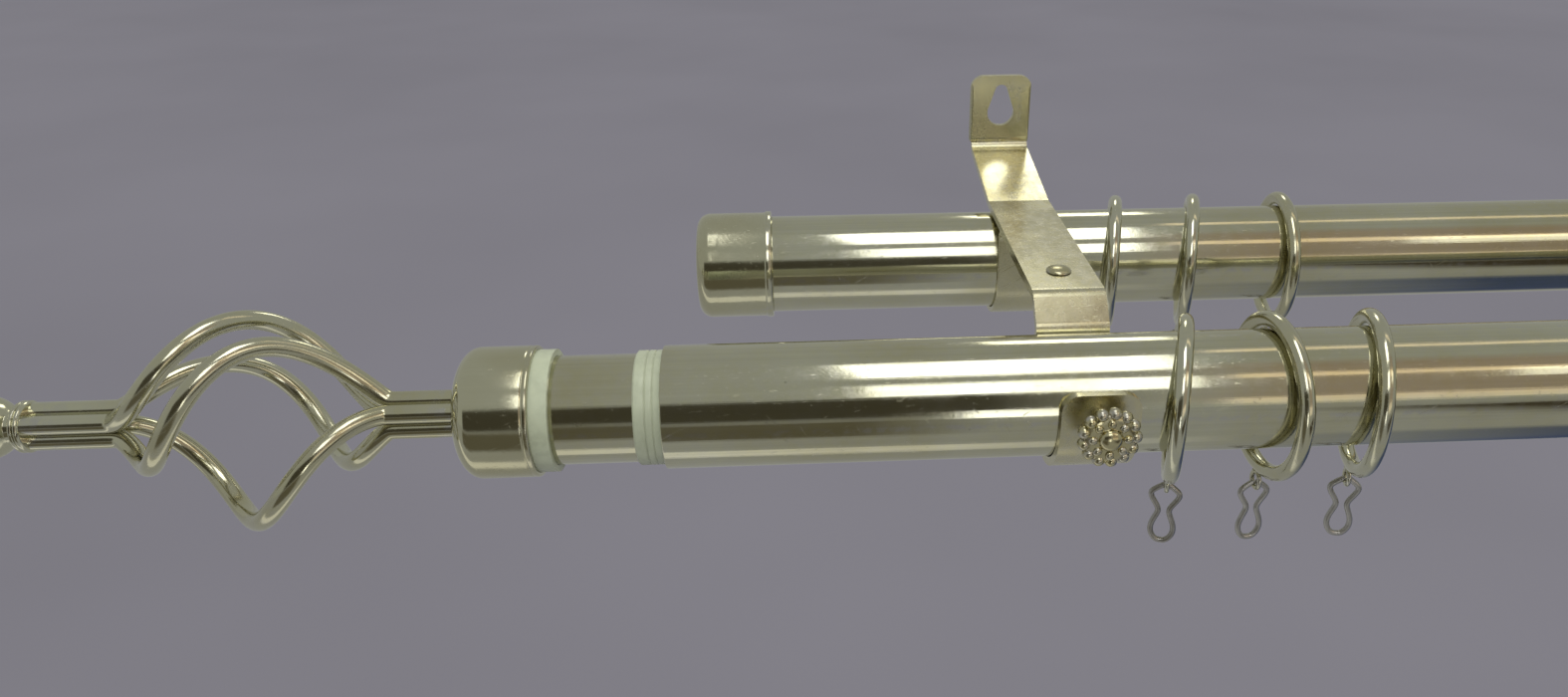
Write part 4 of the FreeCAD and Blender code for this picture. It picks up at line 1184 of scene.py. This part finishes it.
class POLE_OT_thumbscrews(bpy.types.Operator):
    """Threaded screws with a beaded, petalled rosette head"""
    bl_idname = "curtain_pole.thumbscrews"
    bl_label = "Thumbscrews"

    def execute(self, context):
        sizes = settings().brackets
        for side in SIDES:
            node = f"thumbscrew_{side}"
            tip_y = high(node).y
            x, z = middle(node).x, middle(node).z
            length = depth(node, 1)
            rosette, button, thick = 5.7 * MM, 2.6 * MM, 3.4 * MM
            shank, bead = 2.2 * MM, 1.45 * MM
            face = length - thick * 1.2
            profile = [(0, 0), (0.0, shank - 0.6 * MM), (0.5 * MM, shank - 0.15 * MM),
                       (face - thick * 0.4, shank - 0.15 * MM), (face, shank * 1.5),
                       (face + thick * 0.1, rosette), (face + thick * 0.6, rosette),
                       (face + thick * 0.72, rosette * 0.8), (face + thick * 0.72, button * 1.15),
                       *arc((face + thick * 0.72, 0), (thick * 0.48, button), 90, 0, 8)]
            origin = (x, tip_y, z)
            core = turned(f"{node}_core", origin, -ALONG_Y, profile, segments=64,
                          rounding=0.12 * MM)
            parts = [core, self.thread(node, origin, shank, face - thick * 0.4)]
            parts += self.beads(node, x, tip_y - face - thick * 0.35, z, rosette, bead,
                                sizes.bead_count)
            parts += self.petals(node, x, tip_y - face - thick * 0.74, z, rosette, button,
                                 sizes.petal_count)
            piece = join(f"{node}_cast", parts)
            smooth(piece, 45.0)
            mount(piece, node, brass_casting())
        return {"FINISHED"}

    @staticmethod
    def thread(node, origin, radius, length):
        """A fine helical ridge along the shank."""
        pitch = 0.8 * MM
        steps = 18
        turns = int((length - 1.0 * MM) / pitch)
        points = []
        for i in range(turns * steps + 1):
            angle = math.tau * i / steps
            along = 0.6 * MM + pitch * i / steps
            points.append((origin[0] + (radius - 0.14 * MM) * math.cos(angle), origin[1] - along,
                           origin[2] + (radius - 0.14 * MM) * math.sin(angle)))
        return wire(f"{node}_thread", points, 0.2 * MM, sides=1, steps=1)

    @staticmethod
    def beads(node, x, y, z, reach, bead, count):
        """One bead is turned and copied round the head's rim."""
        profile = arc((0, 0), (bead * 1.1, bead), 180, 0, 10)
        first = turned(f"{node}_bead", (x + reach, y, z), -ALONG_Y, profile, segments=16)
        return copied_round(first, count, (x, y, z))

    @staticmethod
    def petals(node, x, y, z, reach, button, count):
        """One low almond is turned, flattened and copied round the button."""
        near, far = button * 1.05, reach * 0.86
        half = (far - near) / 2
        profile = [(near + half - half * math.cos(math.pi * i / 10),
                    0.95 * MM * math.sin(math.pi * i / 10)) for i in range(11)]
        first = turned(f"{node}_petal", (x, y, z), ALONG_X, profile, segments=16)
        resize_part(first, lambda co: True, (1, 0.7, 1), (x, y, z))
        return copied_round(first, count, (x, y, z))


def copied_round(first, count, centre):
    """The piece and its copies, evenly round an axis along Y."""
    return [first] + [copy_turned(first, math.tau * i / count, "Y", centre)
                      for i in range(1, count)]


def ring_height(sizes):
    """Height of a ring's centre when it hangs on a pole."""
    return POLE_Z + settings().poles.outer_diameter / 2 + HANG_GAP - sizes.bore / 2


def hanging(kind):
    """Node, place across and turn of each ring, eye or hook, along both poles."""
    for row in ROWS:
        for number, yaw in enumerate(RING_YAWS[row], start=1):
            node = f"{row}_{kind}_{number}"
            yield node, middle(node).x, POLE_AXES[row], math.radians(yaw)


class POLE_OT_rings(bpy.types.Operator):
    """Rings that hang on both poles, each with a small eye"""
    bl_idname = "curtain_pole.rings"
    bl_label = "Rings"

    def execute(self, context):
        sizes = settings().rings
        outer = sizes.bore / 2 + sizes.section
        for node, x, y, yaw in hanging("ring"):
            place = Vector((x, y, ring_height(sizes)))
            start_fresh()
            bpy.ops.mesh.primitive_torus_add(
                major_radius=(sizes.bore + sizes.section) / 2, minor_radius=sizes.section / 2,
                major_segments=96, minor_segments=24, location=place,
                rotation=(0, math.pi / 2, yaw))
            piece = bpy.context.object
            piece.name = f"{node}_plated"
            settle(piece)
            resize_part(piece, lambda co: place.z - co.z > outer - 0.9 * MM, (1, 1, 0.35),
                        (place.x, place.y, place.z - outer + 0.6 * MM))
            smooth(piece, 60.0)
            mount(piece, node, ring_plating())
        return {"FINISHED"}


class POLE_OT_ring_eyes(bpy.types.Operator):
    """Wire eyes pressed into the bottoms of the rings"""
    bl_idname = "curtain_pole.ring_eyes"
    bl_label = "Ring eyes"

    def execute(self, context):
        sizes = settings().rings
        wire_r = sizes.eye_wire / 2
        eye_r = sizes.eye_bore / 2 + wire_r
        outer = sizes.bore / 2 + sizes.section
        open_half = math.radians(8.0)
        for node, x, y, yaw in hanging("ring_eye"):
            centre_z = ring_height(sizes) - outer - HANG_GAP - eye_r - wire_r
            loop = []
            for i in range(37):
                angle = math.pi / 2 + open_half + (math.tau - 2 * open_half) * i / 36
                loop.append((x, y + eye_r * math.cos(angle), centre_z + eye_r * math.sin(angle)))
            eye = wire(f"{node}_loop", loop, wire_r, sides=4, steps=1)
            end = high(node).z - centre_z - eye_r
            collar = ring_height(sizes) - outer - 0.05 * MM - centre_z - eye_r
            profile = [(0, 0), (0, wire_r), (collar - 0.35 * MM, wire_r),
                       (collar - 0.35 * MM, wire_r * 1.9), (collar, wire_r * 1.9),
                       (collar, wire_r), (end, wire_r), (end, 0)]
            shank = turned(f"{node}_shank", (x, y, centre_z + eye_r), ALONG_Z, profile,
                           segments=24, rounding=0.05 * MM)
            piece = join(f"{node}_plated", [shank, eye])
            turn_mesh(piece, yaw, "Z", (x, y, centre_z))
            smooth(piece, 50.0)
            mount(piece, node, ring_plating())
        return {"FINISHED"}


class POLE_OT_hooks(bpy.types.Operator):
    """Bent wire hooks that hang in the eyes"""
    bl_idname = "curtain_pole.hooks"
    bl_label = "Curtain hooks"

    def execute(self, context):
        sizes = settings().rings
        radius = sizes.hook_wire / 2
        half_top, half_neck, half_low = 3.7 * MM, 1.15 * MM, 2.85 * MM
        stations = ((half_top * 0.75, 0.1), (half_top, 0.16), (half_top * 0.8, 0.27),
                    (half_neck, 0.43), (half_neck * 1.2, 0.52), (half_low, 0.72),
                    (half_low * 0.95, 0.88), (half_low * 0.45, 1.0))
        for node, x, y, yaw in hanging("curtain_hook"):
            top = high(node).z - radius
            bottom = low(node).z + radius
            height = top - bottom
            right = [(width, top - height * share) for width, share in stations]
            line = [(0.5 * MM, top)] + right + [(0.0, bottom)]
            line += [(-width, level) for width, level in reversed(right)] + [(-0.35 * MM, top)]
            points = [(x + width, y, level) for width, level in line]
            piece = wire(f"{node}_bent", points, radius, sides=5, steps=5)
            turn_mesh(piece, yaw, "Z", (x, y, top))
            mount(piece, node, wire_plating())
        return {"FINISHED"}


CARD_FADE = 0.16
WHITE = (1.0, 1.0, 1.0)
WARM = (1.0, 0.80, 0.56)
# Name, place along the poles, angle from straight up towards the front, distance, size,
# and for a lamp its glow, then the colour
SOFTBOXES = (
    ("overhead_softbox", -0.02, 7.0, 0.80, (0.335, 0.42), 2.6, WHITE),
    ("high_softbox", -0.02, 46.0, 0.80, (0.335, 0.30), 2.2, WHITE),
    ("level_softbox", -0.02, 94.0, 0.56, (0.09, 0.14), 2.2, WHITE),
    ("top_warm_softbox", 0.60, -14.0, 0.85, (0.80, 0.10), 0.7, WARM),
    ("high_warm_softbox", 0.60, 39.0, 0.85, (0.80, 0.12), 0.75, WARM),
    ("level_warm_softbox", 0.60, 84.0, 0.90, (0.80, 0.18), 0.55, (1.0, 0.85, 0.65)),
    ("right_softbox", 0.80, 45.0, 0.84, (0.60, 0.22), 1.1, (1.0, 1.0, 0.93)),
    ("back_softbox", 0.15, -57.0, 1.10, (0.22, 0.24), 3.0, (1.0, 0.98, 0.84)),
)
FRONT_CARDS = (
    ("dark_card", -0.38, 77.0, 0.66, (0.96, 0.52), (0.06, 0.055, 0.04)),
    ("grey_card", -0.33, 115.0, 0.40, (0.62, 0.28), (0.12, 0.11, 0.08)),
    ("tan_card", 0.93, 50.0, 1.15, (1.60, 1.90), (0.36, 0.30, 0.25)),
)
FLOOR_CARDS = (
    ("brown_card", 0.97, -0.95, (1.30, 1.00), (0.06, 0.05, 0.035)),
    ("blue_card", 0.75, -0.06, (1.30, 0.42), (0.06, 0.08, 0.16)),
    ("pale_card", -0.39, -0.21, (1.00, 0.11), (0.75, 0.74, 0.70)),
)


def round_the_pole(x, angle, distance):
    """A place round the front pole, its angle measured from straight up towards the front."""
    turn = math.radians(angle)
    return Vector((x, FRONT_AXIS.y - distance * math.sin(turn),
                   POLE_Z + distance * math.cos(turn)))


def softbox(name, place, aim, size, glow, colour):
    """A soft rectangular lamp whose face has an even glow."""
    start_fresh()
    bpy.ops.object.light_add(type="AREA", location=place)
    lamp = bpy.context.object
    lamp.name = name
    lamp.data.shape = "RECTANGLE"
    lamp.data.size, lamp.data.size_y = size
    lamp.data.energy = glow * settings().stage.glow * math.pi * size[0] * size[1]
    lamp.data.color = colour
    lamp.rotation_euler = (Vector(aim) - Vector(place)).to_track_quat("-Z", "Y").to_euler()
    lamp.visible_camera = False


def flag(name, place, aim, size, colour):
    """A matt card that only shows in the plating's reflections."""
    start_fresh()
    bpy.ops.mesh.primitive_plane_add(size=1.0, location=place)
    card = bpy.context.object
    card.name = name
    card.scale = (*size, 1.0)
    card.rotation_euler = (Vector(aim) - Vector(place)).to_track_quat("Z", "Y").to_euler()
    settle(card)
    material, nodes, _ = new_material(name)
    across = nodes.add("ShaderNodeSeparateXYZ")
    nodes.link(nodes.add("ShaderNodeTexCoord").outputs["UV"], across.inputs[0])
    edge = None
    for axis in ("X", "Y"):
        offset = nodes.maths("SUBTRACT", across.outputs[axis], 0.5)
        fade = nodes.remap(nodes.maths("ABSOLUTE", offset, 0.0), 0.5, 0.5 - CARD_FADE)
        edge = fade if edge is None else nodes.maths("MULTIPLY", edge, fade)
    shown = nodes.add("ShaderNodeEmission")
    shown.inputs["Color"].default_value = rgba(colour)
    clear = nodes.add("ShaderNodeBsdfTransparent")
    nodes.mix_surface(edge, clear.outputs[0], shown.outputs[0], "Material Output")
    card.data.materials.append(material)
    card.visible_camera = card.visible_diffuse = card.visible_shadow = False


class POLE_OT_stage(bpy.types.Operator):
    """Floor, softboxes, cards, world and camera"""
    bl_idname = "curtain_pole.stage"
    bl_label = "Stage"

    def execute(self, context):
        stage = settings().stage
        self.make_floor(CAD_BOX[0][2] - stage.floor_drop, stage)
        self.place_softboxes()
        self.place_cards(CAD_BOX[0][2] - stage.floor_drop + 0.004)
        self.make_world(stage)
        self.make_camera(stage)
        return {"FINISHED"}

    @staticmethod
    def place_softboxes():
        """White lamps over the bracket, and warmer, dimmer ones towards the right."""
        for name, x, angle, distance, size, glow, colour in SOFTBOXES:
            place = round_the_pole(x, angle, distance)
            softbox(name, place, (x, FRONT_AXIS.y, POLE_Z), size, glow, colour)

    @staticmethod
    def place_cards(level):
        """Dark cards in front and paler ones below, as a room would show in the plating."""
        for name, x, angle, distance, size, colour in FRONT_CARDS:
            place = round_the_pole(x, angle, distance)
            flag(name, place, (x, FRONT_AXIS.y, POLE_Z), size, colour)
        for name, x, y, size, colour in FLOOR_CARDS:
            flag(name, (x, y, level), (x, y, 1.0), size, colour)

    @staticmethod
    def make_floor(level, stage):
        """The floor shows its own colour evenly and keeps the object's shadow."""
        start_fresh()
        bpy.ops.mesh.primitive_plane_add(size=12.0, location=(0, 0, level))
        floor = bpy.context.object
        floor.name = "floor"
        material, nodes, shader = new_material("pale_floor")
        colour = settings().colours.floor
        shade = tuple(channel * 0.90 for channel in colour)
        tone = use_group(nodes, "Plating tone", First=rgba(colour), Second=rgba(shade),
                         Patch_size=1.5)
        nodes.link(tone.outputs["Tone"], shader.inputs["Base Color"])
        shader.inputs["Roughness"].default_value = 0.8
        shader.inputs["Specular IOR Level"].default_value = 0.2
        rays = nodes.add("ShaderNodeLightPath")
        shown = nodes.add("ShaderNodeEmission")
        mirrored = blend_colour(nodes, rays.outputs["Is Glossy Ray"], tone.outputs["Tone"],
                                stage.room_shine)
        nodes.link(mirrored, shown.inputs["Color"])
        nodes.mix_surface(nodes.maths("MULTIPLY", nodes.seen_rays(rays), 0.7),
                          shader.outputs[0], shown.outputs[0], "Material Output")
        floor.data.materials.append(material)

    @staticmethod
    def make_world(stage):
        """Even room light; the plating mirrors a plainer, darker room."""
        world = bpy.data.worlds.new("studio")
        bpy.context.scene.world = world
        world.use_nodes = True
        nodes = Nodes(world.node_tree)
        plain = world.node_tree.nodes["Background"]
        plain.inputs["Color"].default_value = (1.0, 1.0, 1.0, 1.0)
        plain.inputs["Strength"].default_value = stage.room_light
        shown = nodes.add("ShaderNodeBackground")
        shown.inputs["Color"].default_value = rgba(stage.room_shine)
        seen = nodes.seen_rays(nodes.add("ShaderNodeLightPath"))
        nodes.mix_surface(seen, plain.outputs[0], shown.outputs[0], "World Output")

    @staticmethod
    def make_camera(stage):
        start_fresh()
        bpy.ops.object.camera_add(location=stage.camera_place)
        camera = bpy.context.object
        camera.name = "photo_camera"
        camera.rotation_euler = Vector(stage.camera_aim).to_track_quat("-Z", "Y").to_euler()
        camera.data.sensor_width = 36.0
        camera.data.lens = stage.lens
        camera.data.shift_x = stage.shift_x
        camera.data.shift_y = stage.shift_y
        camera.data.clip_start = 0.01
        camera.data.clip_end = 60.0
        bpy.context.scene.camera = camera
        bpy.context.scene.view_settings.view_transform = "Standard"


class CurtainPole(bpy.types.PropertyGroup):
    poles: bpy.props.PointerProperty(
        type=PoleSizes, name="Poles", description="Tubes, bushes and caps")
    finials: bpy.props.PointerProperty(
        type=FinialSizes, name="Finials", description="Cups, baskets, tips")
    brackets: bpy.props.PointerProperty(
        type=BracketSizes, name="Brackets", description="Straps, cradles and screws")
    rings: bpy.props.PointerProperty(
        type=RingSizes, name="Rings", description="Rings, eyes and hooks")
    colours: bpy.props.PointerProperty(
        type=FinishColours, name="Colours", description="Finishes")
    stage: bpy.props.PointerProperty(
        type=StageSettings, name="Stage", description="Camera and light")


PIECE_OPERATORS = (
    POLE_OT_tubes, POLE_OT_plastics, POLE_OT_finial_cups, POLE_OT_finial_rods, POLE_OT_finial_tips,
    POLE_OT_end_caps, POLE_OT_wall_brackets, POLE_OT_rear_cradles, POLE_OT_rivets,
    POLE_OT_thumbscrews, POLE_OT_rings, POLE_OT_ring_eyes, POLE_OT_hooks, POLE_OT_stage,
)


class POLE_PT_panel(bpy.types.Panel):
    """Everything that dresses the curtain pole"""
    bl_idname = "POLE_PT_panel"
    bl_label = "Double Curtain Pole"
    bl_space_type = "VIEW_3D"
    bl_region_type = "UI"
    bl_category = "Curtain Pole"

    def draw(self, context):
        layout = self.layout
        for operator in PIECE_OPERATORS:
            layout.operator(operator.bl_idname)
        pole = context.scene.curtain_pole
        for group in (pole.poles, pole.finials, pole.brackets, pole.rings, pole.colours,
                      pole.stage):
            box = layout.box()
            for name in group.__annotations__:
                box.prop(group, name)


CLASSES = (PoleSizes, FinialSizes, BracketSizes, RingSizes, FinishColours, StageSettings,
           CurtainPole, *PIECE_OPERATORS, POLE_PT_panel)


def register():
    for item in CLASSES:
        bpy.utils.register_class(item)
    bpy.types.Scene.curtain_pole = bpy.props.PointerProperty(type=CurtainPole)


def unregister():
    del bpy.types.Scene.curtain_pole
    for item in reversed(CLASSES):
        bpy.utils.unregister_class(item)


def main():
    register()
    for operator in PIECE_OPERATORS:
        family, name = operator.bl_idname.split(".")
        getattr(getattr(bpy.ops, family), name)()
    start_fresh()


if __name__ == "__main__":
    main()
